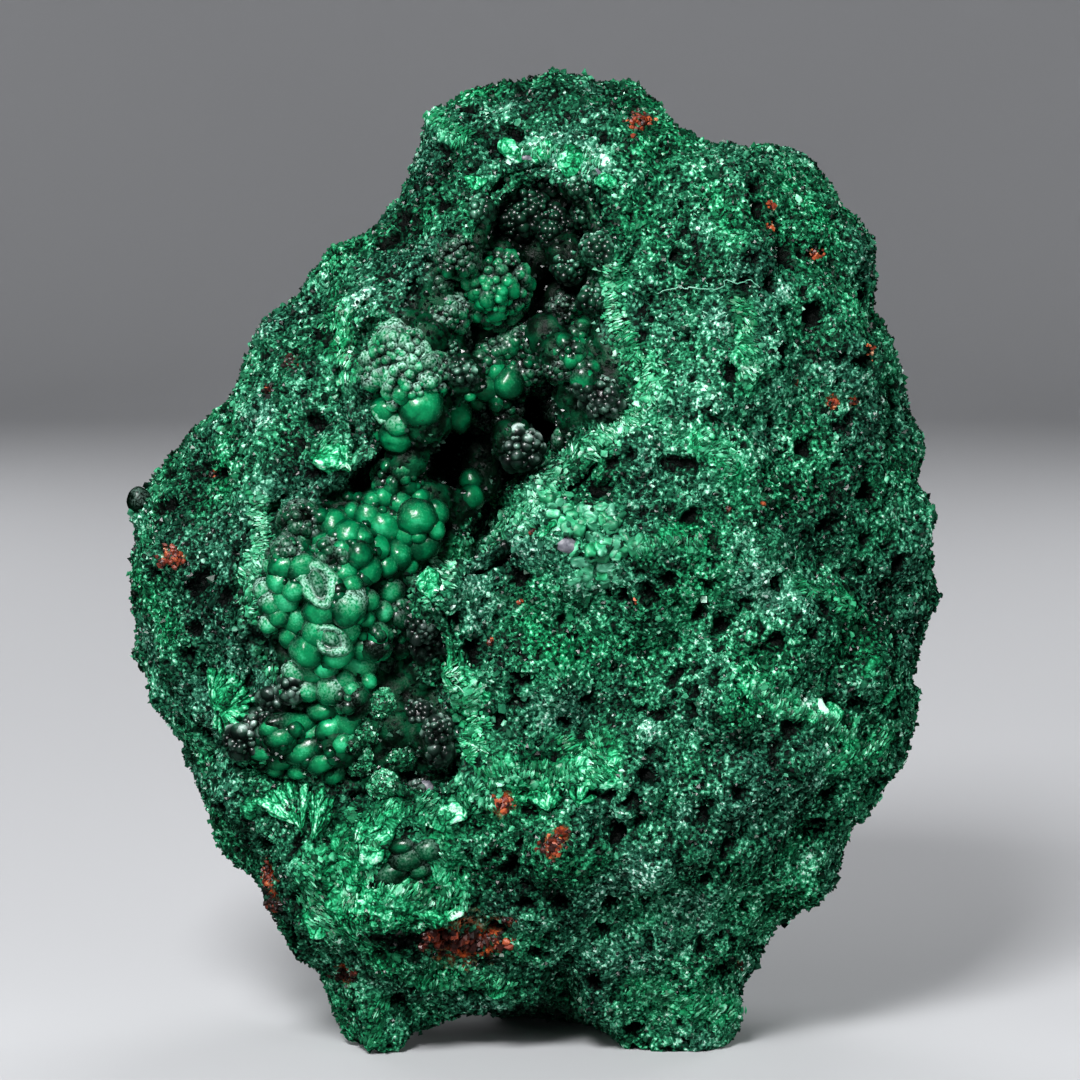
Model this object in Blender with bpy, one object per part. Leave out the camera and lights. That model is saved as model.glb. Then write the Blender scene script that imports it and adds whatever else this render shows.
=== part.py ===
"""Malachite specimen: a standing block of granular malachite with one open hollow in its face.

Run it with blender --background --python part.py, or from Blender's text editor. It makes two
objects, in metres, with +Z up, the face towards -Y and the origin at the bottom centre:

  granular_malachite   the stone, one natural piece: crust, hollow, feet, lumps, ledges and pits
  botryoidal_lining    the hollow's crystals: rounded lumps grown together into one crust

Every shape below is designed in millimetres, and made metres at the very end.
"""

import math

import bmesh
import bpy
import numpy as np
from mathutils import Matrix, Vector, noise

# ---- Driving dimensions, millimetres --------------------------------------------------------
MM = 0.001
FRONT_DEPTH = 33.0  # from the middle plane to the fullest part of the face
BACK_DEPTH = 33.0  # from the middle plane to the fullest part of the back
FULLNESS = 2.8  # power of the bulge: 2 is an ellipsoid, more is a squarer block
HEART = (1.0, 75.0)  # x and z of the point that the outline is measured round
CORNER_SPREAD = 0.45  # share of the depth over which the outline's corners fade
CORNER_BLUR = 0.35  # radians over which the outline is smoothed away from the middle plane
OUTLINE_CALM = 0.35  # share of the crust's height that is left at the outline
CRUST_SINK = 0.9  # how far the crust's mean level lies inside the plain shape
CALM_WIDTH = 12.0  # distance from the middle plane at which the crust has its full height
# Crust: breadth of the swells and their height, then of the cobbles, then of the lumps.
SWELL_SIZE, SWELL_HEIGHT = 30.0, 4.0
COBBLE_SIZE, COBBLE_HEIGHT = 14.0, 6.5
LUMP_SIZE, LUMP_HEIGHT = 7.0, 3.8
CELL_MIDDLE = 0.4  # distance to the nearest cell's summit, in cells, that counts as level
GROUND = 1.5  # height at which the soles are cut off, which becomes z = 0
SKIN_GAP = 0.35  # the lining stands this far off the stone

# The stone's outline seen from the front: x and z of its corners, from the top round the left
# side to the left foot, then from the right foot up the right side.
OUTLINE = (
    (4, 150), (-5.5, 148), (-9, 147.5), (-13, 144.5), (-16.5, 140), (-17, 136), (-20.5, 131),
    (-25, 125), (-29, 122), (-35.5, 115), (-42.5, 109.5), (-45.5, 98.5), (-51.5, 96.5),
    (-54, 93.5), (-60, 86), (-61.5, 83), (-59, 80), (-61.5, 73.5), (-60, 64), (-61.5, 59.5),
    (-55.5, 52), (-50, 38), (-45, 28.5), (-42.5, 27), (-40.5, 20.5), (-35.5, 15.5),
    (-31.5, 9), (-27, 3.5), (-8, 2.5), (4, 3), (18, 2.5), (31, 4), (34, 8),
    (37.5, 15), (44.5, 21.5), (48, 31), (54.5, 40), (59.5, 44), (59.5, 51), (58.5, 56),
    (61.5, 70.5), (60, 79), (57.5, 84.5), (59.5, 90), (55, 107), (50.5, 115), (52, 119),
    (44.5, 131.5), (39.5, 137.5), (27, 137.5), (16.5, 144.5), (9.5, 147.5),
)  # fmt: skip

# Feet: centre of the sole, centre of the hip, radius at the sole and at the hip.
FEET = (
    ((-23.5, -13.0, -3.0), (-20.0, -2.0, 24.0), 3.8, 20.0),
    ((22.0, -9.0, -3.0), (22.0, -2.0, 24.0), 6.5, 21.0),
    ((-3.0, 19.0, -3.0), (-4.0, 8.0, 20.0), 5.5, 17.0),
    ((9.0, 18.0, -3.0), (9.0, 8.0, 20.0), 5.5, 17.0),
)

# Swells and dips of the face: x, z, radius and height towards the viewer.
FACE_SWELLS = (
    (28.5, 81.5, 30.0, 3.0),  # the broad right cheek
    (32.0, 120.0, 12.0, 2.5),
    (12.5, 36.0, 9.0, 4.0),  # the round lobe low in the middle
    (-34.0, 43.0, 9.0, 3.0),  # the fan of broken fibres low on the left
    (-19.5, 30.5, 8.0, 3.5),  # the curved ledge under it
    (-6.0, 23.0, 5.0, -4.0),  # the rusty groove under the ledge
    (-4.0, 46.0, 7.0, 3.0),
    (17.0, 106.5, 7.0, 2.5),  # the broken rim right of the hollow
    (-2.0, 83.5, 8.0, 2.5),  # the ridge between the throat and the cheek
    (-11.5, 76.0, 6.0, 2.5),
    (-50.0, 70.0, 12.0, -2.5),
    (-7.5, 139.0, 9.0, 2.5),
)

# Chambers of the hollow: centre, half sizes and plain lumps on the wall. They run into one
# another.
CHAMBERS = (
    ((1.5, -22.0, 123.5), (10.0, 20.0, 12.5), 12),  # roof pocket
    ((-4.0, -21.0, 110.5), (16.0, 23.0, 15.0), 14),  # grape pocket
    ((-19.0, -26.0, 105.5), (9.5, 15.0, 13.0), 9),  # shoulder pocket
    ((-8.5, -17.0, 96.0), (15.0, 30.0, 10.5), 0),  # black throat
    ((-16.0, -24.0, 85.5), (17.0, 20.0, 11.0), 6),  # middle hall
    ((-29.5, -26.0, 71.0), (14.5, 18.0, 19.0), 12),  # mound hall
    ((-17.5, -23.0, 61.5), (8.0, 22.0, 18.0), 5),  # crevice
    ((-30.0, -26.0, 52.0), (16.0, 16.0, 9.0), 10),  # lower gallery
    ((-15.5, -25.0, 50.5), (8.0, 14.0, 8.5), 5),  # lower pocket
    ((9.5, -30.0, 103.5), (7.5, 9.0, 8.0), 4),  # sparkling slope
    ((1.0, -30.0, 95.0), (9.0, 10.0, 7.0), 0),
)

# The arch between the feet, and the notch at its top: centre and half sizes.
ARCH = (
    ((-1.5, -19.0, 1.0), (16.5, 30.0, 8.0)),
    ((4.5, -26.0, 8.0), (4.5, 24.0, 10.0)),
)

# Clusters of the lining: centre, half sizes, number of lumps and their radius.
CLUSTERS = (
    ((-7.0, -13.0, 118.5), (6.0, 6.0, 6.0), 12, 3.0),  # fine grapes, upper left
    ((-4.0, -11.0, 108.0), (5.5, 5.5, 5.5), 8, 3.4),  # middle grapes
    ((-5.5, -14.0, 103.0), (3.0, 3.5, 3.5), 4, 3.8),  # the pair below them
    ((5.5, -12.0, 110.0), (3.0, 4.0, 6.0), 8, 3.0),  # upright bunch, right
    ((-18.5, -20.0, 106.5), (6.5, 8.0, 7.0), 12, 3.6),  # pale bunch on the shoulder
    ((-17.0, -23.5, 99.0), (3.0, 5.0, 2.0), 3, 3.8),
    ((-19.0, -16.0, 83.0), (8.5, 8.0, 5.5), 13, 3.9),  # smooth big lumps, middle
    ((-30.5, -20.0, 73.5), (9.5, 10.5, 11.0), 16, 4.8),  # the mound
    ((-30.0, -20.5, 59.0), (8.0, 6.5, 3.0), 7, 3.8),  # skirt of the mound
    ((-32.0, -19.5, 51.0), (10.0, 6.5, 3.0), 8, 3.8),  # long lumps in the gallery
    ((-21.5, -20.5, 53.5), (4.0, 5.5, 5.0), 7, 3.6),  # grainy lumps beside them
    ((-16.0, -21.0, 66.0), (3.0, 4.0, 5.0), 6, 3.0),  # dark lumps in the crevice
    ((-15.0, -20.5, 52.5), (3.5, 4.5, 5.0), 6, 3.2),
    ((1.0, -10.0, 126.0), (5.0, 5.0, 5.5), 10, 2.8),  # black grapes in the roof
    ((10.0, -24.0, 103.0), (4.5, 4.0, 5.0), 8, 2.8),
    ((-8.5, -13.0, 88.5), (1.5, 3.0, 1.5), 2, 3.2),
)
WALL_LUMP = 3.4  # radius of the plain lumps between the clusters
WALL_THICKNESS = 1.8  # the crust that carries the lumps

# Fineness of the shapes while they are worked on, and the triangles kept.
STONE_VOXEL, STONE_TRIANGLES = 1.15, 5300
LINING_VOXEL, LINING_TRIANGLES = 0.6, 4400
FOOT_SIDES = 14
PIT_COUNT, PIT_RADIUS = 40, (2.2, 4.2)
PIT_SHARE = (0.25, 0.88)  # how far out from the heart to the outline a pit may lie
PIT_STRAY = 0.2  # radians that a pit strays from its even place
LUMPS_TO = 0.62  # a cluster's lumps stop this far round from its front to its back
WALL_LUMPS_FROM = 0.42  # a chamber's lumps start this far round, clear of its mouth
CRUST_OVERLAP = 1.0  # the lining's crust is made this much too thick, then trimmed to the stone
SEED = 20
CREASE_DEGREES = 35.0  # edges sharper than this stay sharp in the shading

# Plain looks: linear colour and roughness.
STONE_COLOUR, STONE_ROUGHNESS = (0.008, 0.13, 0.055), 0.55
LINING_COLOUR, LINING_ROUGHNESS = (0.004, 0.17, 0.06), 0.3


# ---- Shapes ---------------------------------------------------------------------------------
def outline_reach(turn, smoothing=0.0):
    """How far the outline lies from the heart in each direction, by straight lines in angle.

    With smoothing it is the mean over that angle to either side, in radians.
    """
    corners = np.array(OUTLINE, float) - HEART
    angle = np.arctan2(corners[:, 1], corners[:, 0])
    order = np.argsort(angle)
    reach = np.hypot(corners[:, 0], corners[:, 1])
    beside = smoothing * np.linspace(-1, 1, 9)
    spread = np.asarray(turn)[..., None] + beside
    return np.interp(spread, angle[order], reach[order], period=2 * math.pi).mean(-1)


def face_point(x, z):
    """The y of the plain face over a point of the front view, where the outline holds it."""
    across, up = x - HEART[0], z - HEART[1]
    share = math.hypot(across, up) / float(outline_reach(math.atan2(up, across)))
    return -FRONT_DEPTH * max(0.0, 1 - share**FULLNESS) ** (1 / FULLNESS)


def crust_height(point):
    """Height of the crust over the plain shape: broad swells, cobbles and lumps added up.

    Each cobble and lump is a cell with its summit at the middle and a crease round it.
    """
    spot = Vector(point)
    broad = SWELL_HEIGHT * noise.noise(spot / SWELL_SIZE)
    cobble = COBBLE_HEIGHT * (CELL_MIDDLE - noise.voronoi(spot / COBBLE_SIZE)[0][0])
    lump = LUMP_HEIGHT * (CELL_MIDDLE - noise.voronoi(spot / LUMP_SIZE)[0][0])
    return broad + cobble + lump - CRUST_SINK


def stone_blank():
    """A ball with each point pushed out to the outline and to the bulge of face and back.

    The outline's corners fade into a smoothed outline away from the middle plane.
    """
    ball = bmesh.new()
    bmesh.ops.create_icosphere(ball, subdivisions=6, radius=1.0)
    unit = np.array([v.co for v in ball.verts])
    flat = np.hypot(unit[:, 0], unit[:, 2])
    swell = (flat**FULLNESS + np.abs(unit[:, 1]) ** FULLNESS) ** (-1 / FULLNESS)
    bulge = unit[:, 1] * swell
    turn = np.arctan2(unit[:, 2], unit[:, 0])
    corner = np.exp(-((bulge / CORNER_SPREAD) ** 2))
    reach = corner * outline_reach(turn) + (1 - corner) * outline_reach(turn, CORNER_BLUR)
    x = HEART[0] + unit[:, 0] * swell * reach
    z = HEART[1] + unit[:, 2] * swell * reach
    y = bulge * np.where(bulge < 0, FRONT_DEPTH, BACK_DEPTH)
    for at_x, at_z, radius, height in FACE_SWELLS:
        near = np.exp(-((x - at_x) ** 2 + (z - at_z) ** 2) / radius**2)
        y -= height * near * np.clip(-bulge, 0, 1)
    for vertex, place in zip(ball.verts, np.stack([x, y, z], 1)):
        vertex.co = place
    return ball


def roughen(made):
    """Raises the crust along the normals, less near the outline, which keeps its corners."""
    shape = bmesh.new()
    shape.from_mesh(made.data)
    shape.normal_update()
    for vertex in shape.verts:
        calm = OUTLINE_CALM + (1 - OUTLINE_CALM) * min(1.0, abs(vertex.co.y) / CALM_WIDTH)
        vertex.co += vertex.normal * (calm * crust_height(vertex.co))
    shape.to_mesh(made.data)
    shape.free()


def add_lump(shape, centre, sizes, subdivisions=2):
    """Adds a ball, stretched to the given half sizes, to a shape."""
    place = Matrix.Translation(centre) @ Matrix.Diagonal((*sizes, 1.0))
    bmesh.ops.create_icosphere(shape, subdivisions=subdivisions, radius=1.0, matrix=place)


def add_foot(shape, sole, hip, sole_radius, hip_radius):
    """Adds a tapered leg from its hip inside the stone to its sole on the ground."""
    sole, hip = Vector(sole), Vector(hip)
    along = hip - sole
    turned = along.to_track_quat("Z", "Y").to_matrix().to_4x4()
    bmesh.ops.create_cone(
        shape,
        cap_ends=True,
        segments=FOOT_SIDES,
        radius1=sole_radius,
        radius2=hip_radius,
        depth=along.length,
        matrix=Matrix.Translation((sole + hip) / 2) @ turned,
    )


def spiral(count, from_pole=0.0, to_pole=1.0):
    """Unit vectors spread evenly by the golden angle, from the -Y pole (0) towards +Y (1)."""
    step = np.arange(count)
    y = -1 + 2 * (from_pole + (to_pole - from_pole) * (step + 0.5) / max(count, 1))
    ring = np.sqrt(1 - y**2)
    turn = step * math.pi * (3 - math.sqrt(5))
    return np.stack([ring * np.cos(turn), y, ring * np.sin(turn)], 1)


def pits(rng):
    """Seeded places for the small pits: x, y and z on the crust, and a radius."""
    for direction in spiral(PIT_COUNT):
        turn = math.atan2(direction[2], direction[0]) + rng.uniform(-PIT_STRAY, PIT_STRAY)
        share = rng.uniform(*PIT_SHARE)
        reach = float(outline_reach(turn)) * share
        x, z = HEART[0] + reach * math.cos(turn), HEART[1] + reach * math.sin(turn)
        depth = face_point(x, z)
        y = depth if direction[1] < 0 else -depth * BACK_DEPTH / FRONT_DEPTH
        yield (x, y, z), rng.uniform(*PIT_RADIUS)


# ---- Solid work -----------------------------------------------------------------------------
def new_object(name, shape):
    """Puts a bmesh into a new object of the scene."""
    mesh = bpy.data.meshes.new(name)
    shape.to_mesh(mesh)
    shape.free()
    made = bpy.data.objects.new(name, mesh)
    bpy.context.scene.collection.objects.link(made)
    return made


def settle(made):
    """Works the object's modifiers into its mesh."""
    graph = bpy.context.evaluated_depsgraph_get()
    plain = bpy.data.meshes.new_from_object(made.evaluated_get(graph))
    made.modifiers.clear()
    made.data = plain


def fuse(made, voxel):
    """Makes one skin round everything in the object that overlaps."""
    remesh = made.modifiers.new("fuse", "REMESH")
    remesh.mode = "VOXEL"
    remesh.voxel_size = voxel
    settle(made)


def thin_out(made, triangles):
    """Keeps about this many triangles, the larger ones where the surface is flat."""
    triangulate = made.modifiers.new("triangles", "TRIANGULATE")
    triangulate.min_vertices = 4
    settle(made)
    fewer = made.modifiers.new("fewer", "DECIMATE")
    fewer.ratio = triangles / len(made.data.polygons)
    settle(made)


def combine(made, other, operation="DIFFERENCE"):
    """Takes the other object out of this one, or keeps what both share, and removes the other."""
    boolean = made.modifiers.new("combine", "BOOLEAN")
    boolean.operation = operation
    boolean.solver = "EXACT"
    boolean.object = other
    settle(made)
    bpy.data.objects.remove(other)


def keep_largest(made):
    """Keeps the one connected skin that has the most faces."""
    shape = bmesh.new()
    shape.from_mesh(made.data)
    left = set(shape.verts)
    islands = []
    while left:
        island, edge = set(), [left.pop()]
        while edge:
            vertex = edge.pop()
            island.add(vertex)
            around = {e.other_vert(vertex) for e in vertex.link_edges} & left
            left -= around
            edge.extend(around)
        islands.append(island)
    islands.sort(key=len)
    small = [vertex for island in islands[:-1] for vertex in island]
    bmesh.ops.delete(shape, geom=small, context="VERTS")
    shape.to_mesh(made.data)
    shape.free()


def stand_flat(made):
    """Cuts the soles off level at the ground and closes them with flat faces."""
    shape = bmesh.new()
    shape.from_mesh(made.data)
    everything = shape.verts[:] + shape.edges[:] + shape.faces[:]
    done = bmesh.ops.bisect_plane(
        shape, geom=everything, plane_co=(0, 0, GROUND), plane_no=(0, 0, -1), clear_outer=True
    )
    edges = [e for e in done["geom_cut"] if isinstance(e, bmesh.types.BMEdge)]
    bmesh.ops.holes_fill(shape, edges=edges)
    bmesh.ops.recalc_face_normals(shape, faces=shape.faces[:])
    bmesh.ops.triangulate(shape, faces=shape.faces[:])
    shape.to_mesh(made.data)
    shape.free()


def swollen_copy(made, by):
    """A copy of the object whose skin stands this far outside it."""
    copy = bpy.data.objects.new("swollen", made.data.copy())
    bpy.context.scene.collection.objects.link(copy)
    swell = copy.modifiers.new("swell", "DISPLACE")
    swell.strength = by
    swell.mid_level = 0.0
    settle(copy)
    return copy


# ---- The two pieces -------------------------------------------------------------------------
def build_block():
    """The stone before its hollow: blank and feet fused, with the crust raised."""
    shape = stone_blank()
    for foot in FEET:
        add_foot(shape, *foot)
    block = new_object("granular_malachite", shape)
    fuse(block, STONE_VOXEL)
    roughen(block)
    return block


def build_stone(block):
    """The stone: the hollow, the arch and the pits taken out of the block."""
    hollow = bmesh.new()
    for centre, sizes, *_ in CHAMBERS + ARCH:
        add_lump(hollow, centre, sizes, subdivisions=3)
    for centre, radius in pits(np.random.default_rng(SEED)):
        add_lump(hollow, centre, (radius,) * 3)
    cutter = new_object("hollow", hollow)
    fuse(cutter, STONE_VOXEL)
    combine(block, cutter)
    fuse(block, STONE_VOXEL)
    keep_largest(block)
    thin_out(block, STONE_TRIANGLES)
    stand_flat(block)
    return block


def chambers_object(grown_by):
    """All chambers of the hollow as one skin, each grown by this much."""
    shape = bmesh.new()
    for centre, sizes, _ in CHAMBERS:
        add_lump(shape, centre, [size + grown_by for size in sizes], subdivisions=3)
    made = new_object("chambers", shape)
    fuse(made, STONE_VOXEL)
    return made


def build_lining(whole, stone):
    """The lining: a crust along the hollow's wall with its lumps, trimmed clear of the stone."""
    crust = chambers_object(grown_by=CRUST_OVERLAP)
    combine(crust, chambers_object(grown_by=-WALL_THICKNESS))
    combine(crust, whole, "INTERSECT")
    shape = bmesh.new()
    shape.from_mesh(crust.data)
    bpy.data.objects.remove(crust)
    for centre, sizes, count, radius in CLUSTERS:
        add_lump(shape, centre, sizes)
        for direction in spiral(count, to_pole=LUMPS_TO):
            add_lump(shape, Vector(direction * sizes) + Vector(centre), (radius,) * 3)
    for centre, sizes, wall_lumps in CHAMBERS:
        for direction in spiral(wall_lumps, from_pole=WALL_LUMPS_FROM):
            spot = Vector(direction * sizes) + Vector(centre)
            if spot.y > face_point(spot.x, spot.z) + WALL_LUMP:
                add_lump(shape, spot, (WALL_LUMP,) * 3)
    lining = new_object("botryoidal_lining", shape)
    fuse(lining, LINING_VOXEL)
    thin_out(lining, LINING_TRIANGLES)
    combine(lining, swollen_copy(stone, SKIN_GAP))
    keep_largest(lining)
    return lining


def finish(made, name, colour, roughness):
    """Makes the object metres, gives it its material and smooth shading with sharp creases."""
    made.data.transform(Matrix.Scale(MM, 4))
    made.data.name = name
    material = bpy.data.materials.new(name)
    material.use_nodes = True
    shader = material.node_tree.nodes["Principled BSDF"]
    shader.inputs["Base Color"].default_value = (*colour, 1.0)
    shader.inputs["Roughness"].default_value = roughness
    shader.inputs["Metallic"].default_value = 0.0
    made.data.materials.clear()
    made.data.materials.append(material)
    made.data.shade_smooth()
    made.data.set_sharp_from_angle(angle=math.radians(CREASE_DEGREES))


def centre_on_origin(pieces):
    """Moves the pieces together: soles at z = 0, and the middle of their box over the origin."""
    corners = np.array([v.co[:2] for piece in pieces for v in piece.data.vertices])
    middle = (corners.min(0) + corners.max(0)) / 2
    for piece in pieces:
        piece.data.transform(Matrix.Translation((-middle[0], -middle[1], -GROUND)))


def main():
    for left_over in list(bpy.data.objects):
        bpy.data.objects.remove(left_over)
    block = build_block()
    whole = swollen_copy(block, -SKIN_GAP)
    stone = build_stone(block)
    lining = build_lining(whole, stone)
    centre_on_origin((stone, lining))
    finish(stone, "granular_malachite", STONE_COLOUR, STONE_ROUGHNESS)
    finish(lining, "botryoidal_lining", LINING_COLOUR, LINING_ROUGHNESS)


main()
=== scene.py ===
"""Malachite specimen: the finished look of the stone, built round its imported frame.

Laid out as a Blender add-on and run as a script. One operator makes each piece or group of like
pieces, and one makes the stage. Shapes are worked out in millimetres and put into meshes in metres.
Places on the face are given as the camera sees them, across and down a square view VIEW units wide,
and are cast on to the stone, so each piece sits on what carries it.
"""

import math

import bpy
import numpy as np
from bpy.props import FloatProperty, FloatVectorProperty, IntProperty, PointerProperty
from bpy.types import Operator, Panel, PropertyGroup
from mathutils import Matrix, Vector
from mathutils.bvhtree import BVHTree


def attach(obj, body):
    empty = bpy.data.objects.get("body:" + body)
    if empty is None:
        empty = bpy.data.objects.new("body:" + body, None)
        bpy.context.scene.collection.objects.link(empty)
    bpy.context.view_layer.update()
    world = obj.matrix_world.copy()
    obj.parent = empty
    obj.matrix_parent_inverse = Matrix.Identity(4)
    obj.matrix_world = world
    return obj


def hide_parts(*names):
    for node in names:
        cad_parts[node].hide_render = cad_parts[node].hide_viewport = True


bl_info = {
    "name": "Malachite specimen",
    "version": (1, 0, 0),
    "blender": (4, 5, 0),
    "location": "3D View > Sidebar > Malachite",
    "description": "Builds a granular malachite specimen with a botryoidal hollow",
    "category": "Add Mesh",
}

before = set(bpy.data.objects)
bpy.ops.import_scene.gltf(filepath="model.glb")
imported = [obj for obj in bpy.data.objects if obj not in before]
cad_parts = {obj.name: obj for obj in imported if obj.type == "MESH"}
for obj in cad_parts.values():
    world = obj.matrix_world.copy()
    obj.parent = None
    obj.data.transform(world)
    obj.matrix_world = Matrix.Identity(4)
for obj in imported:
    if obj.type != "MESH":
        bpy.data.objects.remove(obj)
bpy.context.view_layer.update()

MM = 0.001
SEED = 41

# The camera: what it looks at, its rise above the horizon, its distance and the view's scale.
AIM = np.array([0.76, 0.0, 76.8])
RISE = math.radians(7.0)
DISTANCE = 700.0
VIEW = 1080.0
UNIT = 0.1517  # millimetres to one unit of the view, at the distance of the aim
SENSOR = 36.0

# Depths on the Y axis: where the hollow's front ends and its depth starts, which the tones make
# dark as painted shade, and where the stone's face turns into its back.
HOLLOW_FRONT, HOLLOW_DEPTH = -22.0, -4.0
FACE_END, BACK_START = 4.0, 14.0
# Width of the squares of the refined skins, of the stone and of the finer lining.
STONE_SQUARE, LINING_SQUARE = 0.86, 0.55
# The free edge of a bake map, as a share of its width.
BAKE_MARGIN = 0.02
GOLDEN_ANGLE = math.pi * (3 - math.sqrt(5))

FORWARD = np.array([0.0, math.cos(RISE), -math.sin(RISE)])
RIGHT = np.array([1.0, 0.0, 0.0])
UP = np.array([0.0, math.sin(RISE), math.cos(RISE)])
EYE = AIM - FORWARD * DISTANCE

# ---- Places on the face ---------------------------------------------------------------------
# The edge of the hollow, as the camera sees it.
HOLLOW_EDGE = (
    (500, 190), (560, 165), (600, 190), (620, 250), (608, 300), (614, 340), (640, 380), (628, 410),
    (590, 432), (548, 462), (508, 500), (470, 540), (432, 568), (410, 600), (406, 640), (442, 680),
    (462, 720), (462, 758), (432, 782), (400, 802), (370, 802), (330, 788), (290, 778), (250, 768),
    (226, 740), (235, 700), (268, 680), (255, 640), (252, 600), (266, 560), (264, 520), (282, 500),
    (330, 482), (362, 460), (366, 430), (356, 400), (360, 360), (380, 330), (400, 300), (420, 270),
    (440, 240), (470, 205),
)  # fmt: skip

# Lobes grown over with small bubbles: across, down, radius, a bubble's radius, tone, dust. On
# the dark lobes the dust also sets painted silver highlights.
GREEN_LOBES = (
    (487, 287, 37, 5.4, 0.64, 0.2), (505, 308, 22, 5.0, 0.62, 0.25), (462, 262, 22, 4.0, 0.4, 0.3),
    (438, 282, 20, 4.0, 0.42, 0.4), (450, 318, 24, 4.2, 0.46, 0.6), (468, 340, 15, 4.4, 0.42, 0.8),
    (398, 352, 28, 5.5, 0.62, 1.1), (404, 382, 30, 6.5, 0.66, 1.2), (436, 372, 20, 5.5, 0.5, 0.5),
    (376, 372, 20, 5.5, 0.6, 1.0), (500, 348, 26, 6.0, 0.58, 0.3), (524, 342, 22, 5.2, 0.52, 0.5),
    (522, 368, 22, 5.6, 0.5, 0.4), (488, 366, 20, 6.5, 0.6, 0.2), (538, 386, 12, 5.0, 0.4, 0.7),
    (566, 308, 17, 5.0, 0.46, 0.4), (580, 332, 13, 6.5, 0.6, 0.1), (572, 352, 15, 6.0, 0.5, 0.1),
    (584, 372, 13, 7.5, 0.55, 0.1), (558, 372, 12, 5.5, 0.4, 0.3), (552, 406, 15, 6.0, 0.34, 0.3),
    (500, 412, 20, 7.0, 0.4, 0.3), (480, 424, 12, 6.0, 0.3, 0.2), (398, 482, 24, 6.5, 0.5, 0.1),
    (300, 522, 22, 5.0, 0.4, 0.3), (286, 552, 20, 5.5, 0.46, 0.4), (396, 612, 17, 7.5, 0.5, 0.25),
    (398, 640, 16, 7.0, 0.46, 0.1), (390, 664, 15, 8.0, 0.44, 0.1), (378, 640, 14, 8.0, 0.5, 0.1),
    (350, 700, 16, 7.0, 0.4, 0.1), (563, 440, 13, 6.5, 0.36, 0.3), (330, 560, 24, 6.5, 0.5, 0.5),
)  # fmt: skip
BLACK_LOBES = (
    (480, 208, 15, 3.6, 0.4, 0.8), (500, 188, 14, 3.6, 0.4, 0.8), (550, 184, 15, 3.6, 0.44, 0.9),
    (580, 188, 14, 3.8, 0.44, 0.9), (532, 205, 26, 3.8, 0.42, 0.8), (556, 228, 20, 3.8, 0.4, 0.8),
    (514, 222, 18, 3.6, 0.36, 0.7), (585, 215, 20, 3.8, 0.45, 0.9), (596, 250, 18, 3.8, 0.45, 0.9),
    (570, 268, 16, 3.8, 0.4, 0.8), (548, 280, 14, 3.6, 0.34, 0.5), (600, 400, 21, 3.9, 0.45, 1.0),
    (584, 385, 14, 3.8, 0.4, 0.9), (592, 300, 13, 3.8, 0.4, 0.8), (462, 372, 15, 3.6, 0.4, 0.8),
    (450, 350, 12, 3.6, 0.4, 0.8), (520, 452, 22, 5.5, 0.4, 0.9), (542, 444, 16, 5.5, 0.4, 0.9),
    (505, 472, 16, 5.5, 0.35, 0.8), (425, 628, 16, 4.2, 0.45, 1.0), (442, 640, 13, 4.2, 0.45, 1.0),
    (424, 648, 13, 4.2, 0.4, 1.0), (420, 716, 17, 4.2, 0.4, 0.8), (438, 732, 15, 4.2, 0.4, 0.9),
    (440, 754, 13, 4.2, 0.4, 0.9), (262, 722, 18, 4.8, 0.4, 0.9), (242, 740, 17, 4.8, 0.4, 0.8),
    (290, 690, 15, 5.0, 0.45, 1.0), (270, 700, 14, 5.0, 0.4, 0.9), (420, 788, 14, 4.0, 0.45, 0.8),
)  # fmt: skip
GRAINY_LOBES = (
    (381, 706, 17, 2.6, 0.5, 0.7), (366, 732, 16, 2.6, 0.5, 0.8), (362, 760, 21, 2.8, 0.54, 1.2),
    (401, 756, 18, 2.8, 0.48, 0.8), (382, 786, 15, 2.8, 0.55, 1.0), (352, 745, 10, 2.6, 0.4, 0.7),
)  # fmt: skip

# Smooth lumps, one by one: across, down, radius, stretch, turn from level in degrees.
SMOOTH_LUMPS = (
    (369, 571, 13, 1, 0), (359, 555, 11, 1, 0), (347, 534, 12, 1.1, 60), (334, 524, 13, 1.1, 80),
    (383, 527, 15, 1, 0), (367, 516, 12, 1, 0), (417, 518, 16, 1, 0), (399, 554, 12, 1.1, 100),
    (424, 546, 12, 1.4, 20), (437, 512, 11, 1, 0), (405, 536, 9, 1, 0), (387, 566, 10, 1, 0),
    (352, 512, 9, 1, 0), (401, 504, 10, 1, 0), (324, 543, 10, 1, 0), (379, 547, 11, 1, 0),
    (410, 567, 8, 1, 0), (384, 496, 9, 1, 0), (470, 481, 11, 1, 0), (472, 497, 11, 1.1, 90),
    (420, 497, 8, 1, 0), (436, 530, 9, 1, 0), (362, 537, 9, 1, 0), (393, 519, 8, 1, 0),
    (419, 536, 8, 1, 0), (372, 500, 8, 1, 0), (342, 550, 9, 1, 0), (411, 482, 7, 1, 0),
    (421, 404, 19, 1, 0), (384, 410, 12, 1, 0), (397, 437, 15, 1.1, 20), (379, 434, 12, 1, 0),
    (438, 388, 9, 1.3, 60), (486, 388, 13, 1, 0), (508, 383, 14, 1, 0), (497, 372, 9, 1, 0),
    (478, 402, 10, 1, 0), (497, 402, 9, 1, 0), (459, 416, 11, 1.3, 95), (470, 396, 5, 1, 0),
    (584, 327, 8, 1.4, 80), (570, 360, 8, 1, 0), (585, 358, 8, 1, 0), (588, 370, 8, 1, 0),
)  # fmt: skip
DUSTY_LUMPS = (
    (350, 606, 15, 1.25, 65), (330, 689, 14, 1, 0), (309, 690, 11, 1, 0), (286, 690, 9, 1, 0),
    (295, 672, 11, 1, 0), (273, 604, 11, 1, 0), (264, 590, 9, 1.2, 80), (268, 624, 9, 1, 0),
    (272, 566, 9, 1, 0), (398, 424, 10, 1.2, 20),
)  # fmt: skip
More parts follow.
